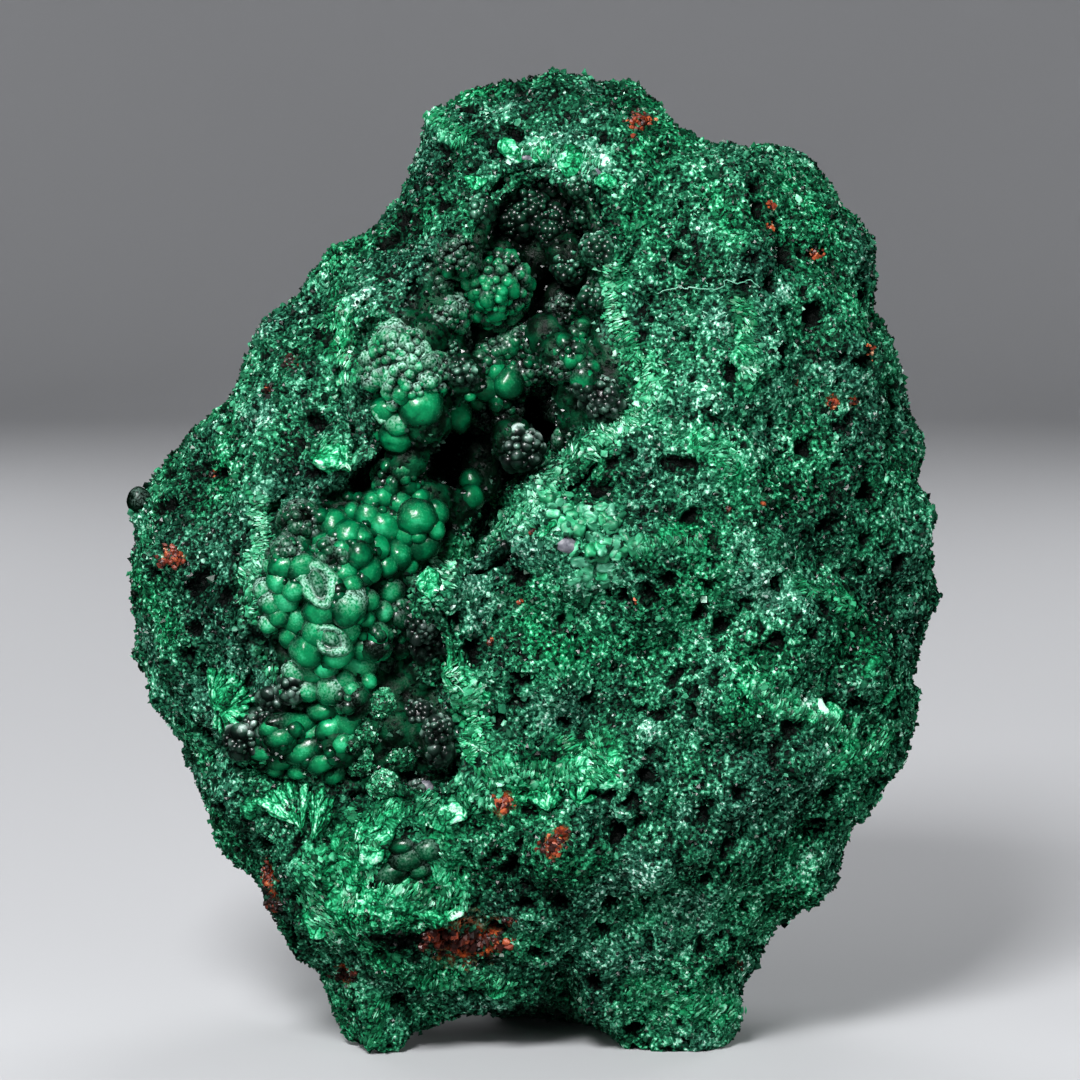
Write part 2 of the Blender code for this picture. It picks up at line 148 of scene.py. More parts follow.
MOUND_LUMPS = (
    (356, 666, 14, 1.5, 35), (364, 648, 11, 1, 0), (377, 634, 11, 1, 0), (374, 652, 10, 1, 0),
    (352, 690, 8, 1, 0), (298, 618, 15, 1.3, 130), (285, 600, 12, 1, 0), (322, 612, 12, 1.4, 10),
    (345, 630, 14, 1, 0), (306, 652, 15, 1, 0), (291, 636, 12, 1, 0), (366, 618, 9, 1, 0),
    (345, 572, 11, 1, 0), (302, 566, 11, 1.3, 15), (278, 582, 11, 1, 0), (284, 566, 10, 1.4, 15),
    (278, 616, 10, 1, 0), (312, 672, 12, 1.2, 160), (344, 680, 9, 1, 0), (369, 681, 8, 1, 0),
    (390, 592, 12, 1, 0), (384, 612, 9, 1, 0), (352, 585, 9, 1, 0), (294, 590, 10, 1, 0),
    (325, 668, 10, 1, 0), (338, 655, 12, 1.2, 20), (317, 632, 13, 1, 0), (370, 600, 9, 1, 0),
)  # fmt: skip
LONG_LUMPS = (
    (298, 722, 9, 2.8, 4), (312, 735, 10, 1.9, 22), (303, 751, 11, 1.8, 24), (285, 760, 9, 1.9, 20),
    (331, 727, 9, 1.6, 30), (280, 737, 8, 1.8, 15), (347, 722, 14, 1.05, 20), (322, 763, 9, 1.8, 28),
    (264, 752, 8, 1.8, 14), (322, 711, 8, 1.8, 5), (300, 708, 7, 2.0, 175), (342, 744, 8, 1.2, 40),
    (270, 728, 7, 1.6, 20), (300, 772, 7, 1.8, 20), (276, 770, 6, 1.6, 15), (335, 775, 8, 1.3, 40),
)  # fmt: skip
OLIVE_LUMPS = (
    (392, 872, 9, 1.9, 30), (410, 858, 9, 1.7, 20), (428, 850, 8, 1.2, 0), (402, 846, 6, 1.5, 10),
    (420, 870, 6, 1.5, 40),
)  # fmt: skip
# Kinds of smooth lump: rows, tone, dust, and their true radius as a share of what shows of it.
LUMP_KINDS = (
    (SMOOTH_LUMPS, 0.63, 0.03, 1.26), (MOUND_LUMPS, 0.68, 0.14, 1.26), (DUSTY_LUMPS, 0.66, 0.8, 1.26),
    (LONG_LUMPS, 0.64, 0.06, 1.22), (OLIVE_LUMPS, 0.44, 0.2, 1.55),
)  # fmt: skip
# Broken bubbles with a pale rim round a core: across, down, radius, stretch, turn.
BROKEN_LUMPS = (
    (319, 584, 22, 1.15, 120), (331, 641, 17, 1.1, 150), (385, 411, 11, 1, 0), (277, 606, 10, 1.3, 80),
)  # fmt: skip

# Fibres of the broken edges: half width, the turn of the fibres to the line, hue, tone, the line.
CROSSWAYS, ALONG = 90, 0
FIBRE_BANDS = (
    (11, CROSSWAYS, 0.75, 0.68, (606, 262), (613, 290), (619, 330), (636, 360), (652, 392)),
    (11, CROSSWAYS, 0.6, 0.72, (652, 392), (640, 418), (612, 432), (588, 452)),
    (10, CROSSWAYS, 0.55, 0.66, (585, 450), (562, 470), (545, 490), (520, 520)),
    (8, CROSSWAYS, 0.5, 0.64, (520, 520), (490, 535), (460, 552)),
    (14, CROSSWAYS, 0.6, 0.74, (448, 562), (436, 580), (430, 602)),
    (16, CROSSWAYS, 0.85, 0.66, (452, 668), (466, 700), (477, 735), (470, 762)),
    (11, CROSSWAYS, 0.8, 0.6, (478, 778), (505, 772), (540, 772), (575, 778), (600, 770)),
    (11, CROSSWAYS, 0.6, 0.74, (258, 492), (262, 530), (255, 560), (246, 592), (256, 612)),
    (10, ALONG, 0.9, 0.66, (345, 312), (340, 335), (350, 358), (345, 385)),
    (9, 35, 0.55, 0.72, (315, 452), (330, 443), (345, 462)),
    (8, CROSSWAYS, 0.7, 0.5, (300, 692), (270, 668), (262, 650)),
    (11, CROSSWAYS, 0.7, 0.62, (420, 800), (440, 815), (470, 796), (498, 800)),
    (9, 60, 0.8, 0.62, (560, 740), (585, 752), (598, 742), (600, 780)),
    (12, ALONG, 0.95, 0.62, (345, 842), (348, 905)),
    (9, ALONG, 0.85, 0.64, (372, 838), (374, 880)),
    (9, ALONG, 0.7, 0.6, (440, 842), (448, 872), (440, 905)),
    (12, 30, 0.75, 0.6, (306, 862), (314, 910), (330, 935)),
    (11, CROSSWAYS, 0.8, 0.62, (376, 884), (405, 893), (440, 905), (468, 900)),
    (8, 40, 0.75, 0.6, (350, 812), (375, 822), (400, 806)),
    (10, CROSSWAYS, 0.7, 0.6, (430, 985), (470, 975), (510, 990)),
    (8, CROSSWAYS, 0.6, 0.6, (752, 690), (790, 705), (850, 735)),
    (7, CROSSWAYS, 0.6, 0.55, (640, 548), (670, 540), (700, 545)),
    (8, 45, 0.7, 0.6, (738, 300), (748, 330), (745, 385)),
    (7, 45, 0.6, 0.6, (700, 440), (722, 452), (735, 470)),
    (9, CROSSWAYS, 0.8, 0.58, (425, 108), (440, 128), (470, 140)),
    (8, CROSSWAYS, 0.5, 0.62, (520, 152), (560, 150), (600, 165)),
    (7, 30, 0.7, 0.55, (826, 765), (860, 752), (885, 738)),
    (8, 50, 0.75, 0.55, (800, 585), (840, 600), (862, 622)),
    (8, 60, 0.7, 0.56, (632, 985), (690, 1005), (740, 1010)),
    (8, ALONG, 0.8, 0.56, (380, 1000), (372, 1040)),
)  # fmt: skip
# Fans of blades: across, down, a blade's length, the middle direction and the spread in degrees,
# how many blades, tone.
FANS = (
    (313, 840, 50, 73, 40, 8, 0.56), (303, 832, 52, 102, 44, 9, 0.6), (296, 824, 42, 134, 42, 7, 0.56),
    (214, 700, 34, 60, 60, 8, 0.56), (222, 712, 36, 12, 60, 8, 0.56), (220, 704, 30, 285, 50, 7, 0.6),
    (356, 842, 30, 52, 50, 7, 0.6), (548, 812, 26, 95, 90, 9, 0.56), (578, 806, 22, 70, 90, 9, 0.56),
    (350, 470, 30, 130, 50, 7, 0.62), (446, 990, 22, 90, 80, 9, 0.54), (360, 940, 24, 110, 80, 9, 0.54),
)  # fmt: skip
# Smooth silky masses: across, down, half width, stretch, turn, tone.
SILKY_LUMPS = (
    (226, 692, 13, 2.1, 58, 0.5), (396, 903, 12, 1.5, 160, 0.56), (428, 914, 9, 2.0, 165, 0.58),
    (453, 909, 6, 1.8, 15, 0.64), (380, 828, 12, 1.7, 35, 0.54), (352, 872, 11, 1.9, 100, 0.56),
    (334, 898, 10, 1.5, 60, 0.6), (252, 806, 8, 1.6, 80, 0.52), (545, 527, 6, 1.8, 30, 0.5),
    (477, 702, 9, 2.0, 80, 0.62), (472, 737, 10, 1.6, 100, 0.6), (548, 780, 10, 1.5, 20, 0.54),
    (452, 812, 9, 1.8, 10, 0.6), (345, 340, 9, 2.0, 100, 0.56), (332, 460, 13, 1.3, 30, 0.62),
    (446, 872, 9, 1.8, 80, 0.56), (500, 990, 9, 1.8, 20, 0.5), (586, 768, 9, 1.4, 60, 0.58),
    (430, 582, 10, 1.4, 60, 0.66), (315, 925, 9, 1.6, 120, 0.56), (372, 858, 8, 1.6, 70, 0.6),
    (512, 151, 10, 1.3, 150, 0.6), (541, 152, 9, 1.4, 40, 0.62), (571, 162, 11, 1.3, 60, 0.6),
    (592, 163, 9, 1.3, 120, 0.62), (607, 182, 9, 1.4, 130, 0.62), (473, 180, 9, 1.3, 30, 0.56),
    (820, 706, 8, 1.6, 110, 0.78), (808, 712, 7, 1.5, 130, 0.74), (832, 712, 7, 1.6, 80, 0.66),
    (886, 694, 9, 1.3, 60, 0.5), (874, 668, 7, 1.8, 70, 0.5),
)  # fmt: skip
# Cobbles of the pale patch: across, down, half width, half height, count.
COBBLES = (
    (570, 520, 22, 12, 16), (604, 518, 22, 12, 16), (594, 548, 28, 12, 18), (556, 500, 16, 8, 8),
    (628, 545, 14, 12, 8), (596, 575, 26, 10, 12),
)  # fmt: skip
# Small worn grains: across, down, half length, turn in degrees, lift off the crust in millimetres.
PEBBLES = (
    (565, 545, 14, -15, 0.6), (424, 786, 12, -30, 0.2), (527, 158, 6, -20, 0.0),
    (598, 174, 6, -50, 0.0),
)  # fmt: skip
# Two long thin crystals, as lines, and their radius in millimetres.
HAIR_RADIUS = 0.09
HAIR = ((656, 292), (672, 287), (700, 289), (720, 288), (738, 278), (752, 277), (760, 290))
NEEDLE = ((450, 674), (458, 682), (466, 692))
# A smooth lump on the left side: across, down, radius.
KNOB = (147, 500, 11.5)

# Parts of the hollow with smooth lumps and no crystals, as the crust's zones are given.
SMOOTH_ZONES = (
    (60, 1.0, (325, 600)), (45, 1.0, (385, 535)), (30, 1.0, (310, 745)), (30, 0.8, (405, 400)),
    (25, 0.7, (500, 380)),
)  # fmt: skip
# Crust zones: radius, strength, then the line that they follow.
# The last, wide pale zone lightens the lower right, which faces down, as painted fill light.
PALE_ZONES = (
    (12, 0.5, (652, 392), (640, 418), (590, 450)), (11, 0.4, (560, 470), (520, 520), (450, 560)),
    (10, 0.5, (258, 492), (257, 555), (246, 592)), (13, 0.8, (590, 92)),
    (17, 0.6, (520, 156), (560, 150), (598, 165)), (14, 0.6, (366, 292)), (12, 0.9, (782, 292)),
    (14, 0.5, (715, 318)), (14, 0.5, (265, 415)), (11, 1.1, (806, 706), (830, 720)),
    (20, 0.5, (612, 882), (640, 870)), (16, 0.45, (806, 860)), (15, 0.4, (320, 280)),
    (13, 0.4, (750, 370)), (12, 0.4, (645, 545), (675, 555)), (14, 0.35, (705, 230)),
    (11, 0.45, (742, 966)), (12, 0.35, (855, 330)), (17, 0.45, (580, 580), (640, 585)),
    (13, 0.35, (680, 820)), (12, 0.5, (350, 300)), (14, 0.35, (700, 500)), (12, 0.35, (770, 600)),
    (12, 0.4, (500, 150)), (13, 0.3, (640, 180)), (12, 0.35, (225, 560)), (10, 0.5, (395, 884)),
    (14, 0.35, (560, 720)), (13, 0.35, (650, 730)), (16, 0.3, (480, 620)), (50, 0.16, (570, 600)),
    (40, 0.14, (530, 700)), (34, 0.16, (600, 530)), (40, 0.12, (700, 300)), (70, 0.36, (690, 905)),
)  # fmt: skip
VIVID_ZONES = (
    (13, 0.4, (660, 100), (700, 170), (735, 240)), (12, 0.4, (745, 300), (748, 385)),
    (12, 0.4, (700, 440), (735, 470)), (10, 0.4, (640, 550), (690, 520)),
    (14, 0.45, (752, 690), (790, 705), (850, 735)), (12, 0.4, (830, 770), (880, 740)),
    (10, 0.4, (900, 690)), (14, 0.4, (450, 100), (500, 85)), (12, 0.35, (460, 150)),
    (26, 0.5, (320, 840), (350, 900), (420, 900)), (18, 0.4, (430, 830), (460, 880)),
    (20, 0.4, (380, 970), (480, 985)), (16, 0.35, (800, 560), (850, 600)),
    (14, 0.35, (230, 470), (200, 520)), (14, 0.4, (640, 990), (720, 1010)),
    (12, 0.3, (150, 590), (170, 630)), (14, 0.3, (520, 620), (560, 660)),
    (12, 0.4, (600, 700), (620, 790)), (14, 0.4, (500, 760), (560, 830)),
    (14, 0.35, (340, 330), (330, 380)), (12, 0.35, (790, 190), (840, 240)), (44, 0.18, (380, 870)),
    (30, 0.15, (520, 780)),
)  # fmt: skip
DARK_ZONES = (
    (4, 0.9, (836, 716), (846, 728)), (5, 0.6, (812, 722), (822, 734)),
    (34, 0.3, (200, 480), (190, 560), (220, 620)), (30, 0.3, (780, 520), (860, 480)),
    (45, 0.16, (540, 115)), (22, 0.35, (500, 880), (560, 900)),
    (5, 1.3, (370, 936), (400, 938), (440, 936)), (18, 0.3, (500, 560), (530, 600)),
    (26, 0.25, (640, 640), (620, 700)), (20, 0.4, (250, 700), (240, 740)),
    (28, 0.3, (430, 190), (400, 240)), (14, 0.7, (400, 942), (500, 950)),
    (24, 0.25, (850, 640), (880, 600)), (16, 0.4, (290, 470), (350, 470)),
    (10, 0.6, (370, 832), (410, 850)), (10, 0.7, (410, 862), (428, 880)), (12, 0.5, (630, 440)),
    (10, 0.5, (250, 850), (240, 800)),
)  # fmt: skip
# Rusty spots: across, down, half width, half height, crumbs, tone.
RUST_SPOTS = (
    (640, 122, 12, 11, 60, 0.6), (771, 205, 4, 4, 12, 0.7), (770, 228, 5, 4, 12, 0.7),
    (816, 255, 6, 5, 16, 0.75), (833, 402, 5, 8, 18, 0.7), (855, 402, 6, 4, 10, 0.4),
    (870, 350, 4, 6, 12, 0.85), (795, 380, 2, 6, 6, 0.7), (172, 557, 11, 9, 70, 0.62),
    (500, 803, 14, 7, 80, 0.7), (552, 846, 12, 10, 70, 0.5), (563, 832, 7, 6, 22, 0.6),
    (463, 940, 36, 8, 150, 0.36), (430, 938, 6, 6, 22, 0.6), (496, 940, 5, 5, 18, 0.7),
    (268, 878, 6, 16, 60, 0.6), (272, 905, 10, 9, 40, 0.3), (345, 975, 13, 6, 40, 0.35),
    (292, 362, 7, 8, 26, 0.3), (267, 388, 6, 5, 16, 0.3), (490, 641, 2.5, 4, 12, 0.5),
    (635, 600, 2, 2.5, 6, 0.5), (727, 508, 3, 2, 6, 0.45), (763, 503, 2.5, 3, 7, 0.85),
    (737, 965, 5, 5, 10, 0.35), (215, 475, 4, 4, 10, 0.3), (519, 602, 2.5, 2, 6, 0.6),
    (533, 532, 2, 2, 5, 0.6), (800, 990, 3, 3, 6, 0.35), (508, 920, 8, 3, 16, 0.35),
)  # fmt: skip
# Rusty spots on the back and the sides: across, up from the ground and radius, in millimetres. They
# are cast on to the stone from a plane behind it.
BEHIND = 90.0
BACK_RUST = ((-30, 96, 4.0), (18, 60, 3.0), (36, 110, 3.5), (-8, 128, 2.5), (-44, 62, 3.0))


# ---- Numbers from places --------------------------------------------------------------------
def linear(code):
    """An sRGB hex colour as linear red, green, blue and a full alpha."""
    share = np.array([int(code[i : i + 2], 16) for i in (1, 3, 5)]) / 255
    low, high = share / 12.92, ((share + 0.055) / 1.055) ** 2.4
    return (*np.where(share <= 0.04045, low, high).tolist(), 1.0)


def stirred(corner, salt):
    """A number from 0 to 1 for each corner of a grid. Each salt gives numbers of its own.

    Its three indices times large odd numbers are folded together, and stirred twice.
    """
    x, y, z = (corner[..., i].astype(np.int64).astype(np.uint32) for i in range(3))
    odd = (np.uint32(73856093), np.uint32(19349663), np.uint32(83492791))
    found = (x * odd[0]) ^ (y * odd[1]) ^ (z * odd[2]) ^ np.uint32(salt * 40503 + 7)
    for _ in range(2):
        found = (found ^ (found >> np.uint32(15))) * np.uint32(2246822519)
    return (found ^ (found >> np.uint32(13))) / 2.0**32


def swell(points, size, salt=0):
    """Smooth noise from -1 to 1: the numbers of the eight corners near by, blended by an S-curve."""
    at = points / size
    low = np.floor(at)
    share = at - low
    share = share * share * (3 - 2 * share)
    total = np.zeros(len(points))
    for corner in np.ndindex(2, 2, 2):
        weight = np.prod(np.where(corner, share, 1 - share), axis=1)
        total += weight * stirred(low + corner, salt)
    return 2 * total - 1


def strayed(points, reach, size, salt):
    """The points, each moved by up to the reach by smooth noise of this size."""
    return points + reach * np.stack([swell(points, size, salt + i) for i in range(3)], 1)


def cells(points, size, salt=0):
    """Distance to the nearest seed of scattered cells, in cells, and that cell's own number."""
    at = points / size
    base = np.floor(at)
    best, tag = np.full(len(at), 9.0), np.zeros(len(at))
    for step in np.ndindex(3, 3, 3):
        cell = base + step - 1
        seed = cell + np.stack([stirred(cell, salt + 1 + i) for i in range(3)], -1)
        away = np.linalg.norm(seed - at, axis=1)
        tag = np.where(away < best, stirred(cell, salt), tag)
        best = np.minimum(best, away)
    return best, tag


def smooth_step(values, low, high):
    """0 below low, 1 above high, and an S-curve between."""
    share = np.clip((values - low) / (high - low), 0, 1)
    return share * share * (3 - 2 * share)


def unit(vectors):
    """The vectors, each made one long."""
    return vectors / np.maximum(np.linalg.norm(vectors, axis=-1, keepdims=True), 1e-9)


def flat_on(vectors, normals):
    """The vectors laid into the planes across the normals, each one long."""
    return unit(vectors - (vectors * normals).sum(1, keepdims=True) * normals)


def turned_on(normals, angle):
    """Directions in the planes across the normals, at an angle from level as the camera sees them."""
    return flat_on(np.cos(angle) * RIGHT + np.sin(angle) * UP, normals)


def upright_frames(axes, rng):
    """For each axis a turn matrix whose last column is the axis, the others turned at random."""
    side = unit(np.cross(axes, unit(rng.normal(size=axes.shape))))
    return np.stack([side, np.cross(axes, side), axes], -1)


def stray_frames(normals, reach, rng):
    """Upright frames whose axes stray from the normals by a random direction times the reach."""
    return upright_frames(unit(normals + reach * unit(rng.normal(size=normals.shape))), rng)


def long_frames(along, normals):
    """Turn matrices with the first column along a direction and the last close to the normal."""
    along = unit(along)
    side = unit(np.cross(normals, along))
    return np.stack([along, side, np.cross(along, side)], -1)


# ---- Shapes ---------------------------------------------------------------------------------
def ball(around, rings):
    """A unit ball, as points and triangles.

    A point is (sin f cos t, sin f sin t, cos f) for a turn t and a fall f from the top pole. Every
    other ring is turned half a step, and a pole closes each end.
    """
    fall = (np.pi * np.arange(1, rings + 1) / (rings + 1))[:, None]
    half = 0.5 * (np.arange(rings) % 2)[:, None]
    turn = 2 * np.pi * (np.arange(around) + half) / around
    grid = [np.sin(fall) * np.cos(turn), np.sin(fall) * np.sin(turn), np.cos(fall) + 0 * turn]
    points = np.concatenate([np.stack(grid, -1).reshape(-1, 3), [[0, 0, 1], [0, 0, -1]]])
    return points, capped_rings(around, rings, staggered=True)


def capped_rings(around, rings, staggered=False):
    """Triangles between rings of points, from the top down, with a pole over each end ring."""
    here = np.arange(around)
    onward = (here + 1) % around
    top, bottom = around * rings, around * rings + 1
    faces = [np.stack([np.full(around, top), here, onward], 1)]
    for ring in range(rings - 1):
        a, b = here + ring * around, onward + ring * around
        c, d = a + around, b + around
        if staggered and ring % 2 == 0:
            faces += [np.stack([a, c, b], 1), np.stack([b, c, d], 1)]
        else:
            faces += [np.stack([a, c, d], 1), np.stack([a, d, b], 1)]
    last = (rings - 1) * around
    faces.append(np.stack([np.full(around, bottom), onward + last, here + last], 1))
    return np.concatenate(faces)


def petal():
    """A blade that widens to its blunt tip: a ball with blunt ends, its width times 0.15 + 0.85 t."""
    points, faces = ball(14, 13)
    points = points[:, [2, 0, 1]]
    blunt = np.maximum(1 - points[:, :1] ** 2, 1e-9) ** -0.3
    points[:, 1:] *= blunt
    points[:, 1] *= 0.15 + 0.85 * (points[:, 0] + 1) / 2
    return points, faces


def block(around=4, rings=2):
    """A block with round corners: a ball with each coordinate's size raised to the power 0.6."""
    points, faces = ball(around, rings)
    return np.sign(points) * np.abs(points) ** 0.6, faces


def turned(profile, around):
    """A closed surface of turning: a point is (r cos t, r sin t, h) for a turn t round the axis.

    The profile holds r and h from the top of the axis to its bottom, where r is 0.
    """
    radius, height = np.array(profile, float).T
    turn = 2 * np.pi * np.arange(around) / around
    ring = radius[1:-1, None]
    grid = [ring * np.cos(turn), ring * np.sin(turn), height[1:-1, None] + 0 * turn]
    ends = [[0, 0, height[0]], [0, 0, height[-1]]]
    points = np.concatenate([np.stack(grid, -1).reshape(-1, 3), ends])
    return points, capped_rings(around, len(profile) - 2)


def swept(path, normals, radii, around):
    """A closed rod along a path: at each point a circle of turn t.

    A point is path + r (cos t side - sin t normal). A pole closes each end.
    """
    along = unit(np.gradient(path, axis=0))
    side = unit(np.cross(along, normals))
    lift = np.cross(side, along)
    turn = (2 * np.pi * np.arange(around) / around)[None, :, None]
    circle = np.cos(turn) * side[:, None] - np.sin(turn) * lift[:, None]
    grid = path[:, None] + radii[:, None, None] * circle
    ends = np.stack([path[0] - along[0] * radii[0], path[-1] + along[-1] * radii[-1]])
    return np.concatenate([grid.reshape(-1, 3), ends]), capped_rings(around, len(path))


def strewn(shape, centres, frames, sizes, knobbly, rng):
    """Copies of one small shape: centre + frame (size x point x its own knobble), and their faces."""
    points, faces = shape
    bump = 1 + knobbly * rng.uniform(-1, 1, (len(centres), len(points), 1))
    local = points[None] * bump * sizes[:, None, :]
    placed = centres[:, None] + np.einsum("nij,nkj->nki", frames, local)
    copies = faces[None] + len(points) * np.arange(len(centres))[:, None, None]
    return placed.reshape(-1, 3), copies.reshape(-1, 3)


def gathered(parts):
    """Several (points, faces, values) made one, with the faces' corner numbers moved on."""
    starts = np.cumsum([0] + [len(points) for points, _, _ in parts[:-1]])
    points = np.concatenate([points for points, _, _ in parts])
    faces = np.concatenate([faces + start for (_, faces, _), start in zip(parts, starts)])
    names = parts[0][2]
    return points, faces, {n: np.concatenate([values[n] for _, _, values in parts]) for n in names}


# ---- The stone that carries the rest --------------------------------------------------------
def sight(places):
    """Directions from the camera through places of the view."""
    places = np.atleast_2d(np.asarray(places, float))
    across = (places[:, :1] - VIEW / 2) * UNIT * RIGHT
    up = (VIEW / 2 - places[:, 1:2]) * UNIT * UP
    return unit(FORWARD * DISTANCE + across + up)


def seen_at(points):
    """The places of the view where the camera sees these points."""
    away = points - EYE
    scale = DISTANCE / (away @ FORWARD) / UNIT
    return np.stack([VIEW / 2 + away @ RIGHT * scale, VIEW / 2 - away @ UP * scale], 1)


def depth_in_hollow(points):
    """How far inside the hollow's edge the camera sees these points, in units; less than 0 outside."""
    places = seen_at(points)
    start = np.array(HOLLOW_EDGE, float)
    way = np.roll(start, -1, 0) - start
    gap = places[:, None] - start
    share = np.clip((gap * way).sum(-1) / (way**2).sum(-1), 0, 1)
    near = np.linalg.norm(gap - share[..., None] * way, axis=-1).min(1)
    above, end_above = start[:, 1] > places[:, 1:], (start + way)[:, 1] > places[:, 1:]
    reach = start[:, 0] + way[:, 0] * gap[..., 1] / np.where(way[:, 1] == 0, 1e-9, way[:, 1])
    crossed = (above != end_above) & (places[:, :1] < reach)
    return np.where(crossed.sum(1) % 2 == 1, near, -near)


def skin(*objects):
    """A search tree of these objects' meshes, in millimetres."""
    points, faces, start = [], [], 0
    for made in objects:
        found, corners = mesh_arrays(made.data)
        points.append(found)
        faces.extend((corners + start).tolist())
        start += len(found)
    return BVHTree.FromPolygons(np.concatenate(points).tolist(), faces)


def cast(tree, places):
    """Where the lines of sight through these places meet the tree: points, normals and hits."""
    eye = Vector(EYE)
    found = [tree.ray_cast(eye, Vector(way)) for way in sight(places)]
    hit = np.array([place is not None for place, *_ in found])
    points = np.array([place or (0, 0, -99) for place, *_ in found], float)
    normals = np.array([normal or (0, -1, 0) for _, normal, *_ in found], float)
    normals[normals @ FORWARD > 0] *= -1
    return points, normals, hit


def set_down(rows, tree):
    """Where rows that start with a place of the view meet the tree: points, normals, and the rest
    of each row in columns. A row that misses is left out.
    """
    x, y, *rest = np.array(rows, float).T
    at, normal, hit = cast(tree, np.stack([x, y], 1))
    return at[hit], normal[hit], *(column[hit] for column in rest)


def mesh_arrays(mesh):
    """A mesh's points in millimetres and its faces, which all have as many corners."""
    points = np.empty(len(mesh.vertices) * 3, np.float32)
    mesh.vertices.foreach_get("co", points)
    corners = np.empty(len(mesh.loops), np.int32)
    mesh.loops.foreach_get("vertex_index", corners)
    return points.reshape(-1, 3).astype(float) / MM, corners.reshape(len(mesh.polygons), -1)


def mesh_normals(mesh):
    """The normals at a mesh's points."""
    normals = np.empty(len(mesh.vertices) * 3, np.float32)
    mesh.vertices.foreach_get("normal", normals)
    return normals.reshape(-1, 3).astype(float)


def mesh_values(mesh, name):
    """The numbers that a mesh keeps at its points under this name."""
    values = np.empty(len(mesh.vertices), np.float32)
    mesh.attributes[name].data.foreach_get("value", values)
    return values.astype(float)


def refined(node, voxel):
    """A CAD node's skin as even squares of this size, smoothed: points, normals and faces.

    It is a merged copy, so the node's own mesh isn't touched.
    """
    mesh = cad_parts[node].data.copy()
    work = bpy.data.objects.new("work", mesh)
    bpy.context.scene.collection.objects.link(work)
    weld = work.modifiers.new("weld", "WELD")
    weld.merge_threshold = 1e-6
    remesh = work.modifiers.new("squares", "REMESH")
    remesh.mode = "VOXEL"
    remesh.voxel_size = voxel * MM
    smooth = work.modifiers.new("smooth", "SMOOTH")
    smooth.iterations = 2
    done = work.evaluated_get(bpy.context.evaluated_depsgraph_get())
    fine = bpy.data.meshes.new_from_object(done)
    found = (*mesh_arrays(fine), mesh_normals(fine))
    bpy.data.objects.remove(work)
    bpy.data.meshes.remove(fine)
    bpy.data.meshes.remove(mesh)
    return found


def zone_share(points, zones):
    """How much of each point lies in the zones: strength x exp(-(distance / radius)^2), added."""
    total = np.zeros(len(points))
    for radius, strength, *line in zones:
        found, _, hit = cast(STONE, dense(line, radius * 0.5))
        if hit.any():
            away = np.full(len(points), 1e9)
            for spot in found[hit]:
                away = np.minimum(away, ((points - spot) ** 2).sum(1))
            total += strength * np.exp(-away / (radius * UNIT) ** 2)
    return total


def dense(line, step):
    """Places along a line of the view, no further than about a step apart."""
    line = np.array(line, float)
    if len(line) == 1:
        return line
    run = np.concatenate([[0], np.cumsum(np.linalg.norm(np.diff(line, axis=0), axis=1))])
    at = np.linspace(0, run[-1], max(2, int(run[-1] / step) + 1))
    return np.stack([np.interp(at, run, line[:, 0]), np.interp(at, run, line[:, 1])], 1)


def sown(points, normals, faces, weight, count, rng):
    """Places spread over squares by area times weight: the points, the normals and the squares."""
    corner = points[faces]
    area = np.linalg.norm(np.cross(corner[:, 2] - corner[:, 0], corner[:, 3] - corner[:, 1]), axis=1)
    chance = area * weight
    chosen = rng.choice(len(faces), count, p=chance / chance.sum())
    u, v = rng.uniform(size=(2, count, 1))
    mix = np.stack([(1 - u) * (1 - v), u * (1 - v), u * v, (1 - u) * v], 1)
    return (corner[chosen] * mix).sum(1), unit((normals[faces[chosen]] * mix).sum(1)), chosen


# ---- Pieces and materials -------------------------------------------------------------------
def painted(tones, hues, low=0.02):
    """Tones and hues as numbers at a piece's points, kept off the ends of the colour ramps."""
    return {"tone": np.clip(tones, low, 0.99).ravel(), "hue": np.clip(hues, 0, 1).ravel()}


def make_piece(name, shape, material, toned=False, smooth=True):
    """Puts a shape into a new object that rides on the stone, none of it under the ground.

    A shape is its points, its faces and numbers at its points. Where tone and hue hold the whole
    colour, toned lays each point out by them for the bake.
    """
    points, faces, values = shape
    mesh = bpy.data.meshes.new(name)
    points = np.array(points)
    points[:, 2] = np.maximum(points[:, 2], 0.0)
    mesh.from_pydata(points * MM, [], faces)
    for key, numbers in values.items():
        layer = mesh.attributes.new(key, "FLOAT", "POINT")
        layer.data.foreach_set("value", np.asarray(numbers, np.float32).ravel())
    if toned:
        across, up = (np.clip(values[key], 0, 1) for key in ("tone", "hue"))
        place = np.stack([across, up], 1)[faces.ravel()] * (1 - 2 * BAKE_MARGIN) + BAKE_MARGIN
        mesh.uv_layers.new(name="OFBake").uv.foreach_set("vector", place.astype(np.float32).ravel())
    mesh.polygons.foreach_set("use_smooth", np.full(len(mesh.polygons), smooth))
    mesh.materials.append(material)
    mesh.update()
    made = bpy.data.objects.new(name, mesh)
    bpy.context.scene.collection.objects.link(made)
    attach(made, "root")
    return made


def add(tree, kind, links=None, values=None, stops=None, out=0, **settings):
    """Adds one node: its settings, socket values, ramp stops and links. Gives one of its outputs."""
    made = tree.nodes.new("ShaderNode" + kind)
    for name, setting in settings.items():
        setattr(made, name, setting)
    for name, value in (values or {}).items():
        made.inputs[name].default_value = value
    for name, socket in (links or {}).items():
        tree.links.new(socket, made.inputs[name])
    if stops:
        band = made.color_ramp.elements
        for place, colour in stops[1:-1]:
            band.new(place).color = linear(colour)
        for stop, (place, colour) in zip((band[0], band[-1]), (stops[0], stops[-1])):
            stop.position, stop.color = place, linear(colour)
    return made.outputs[out]


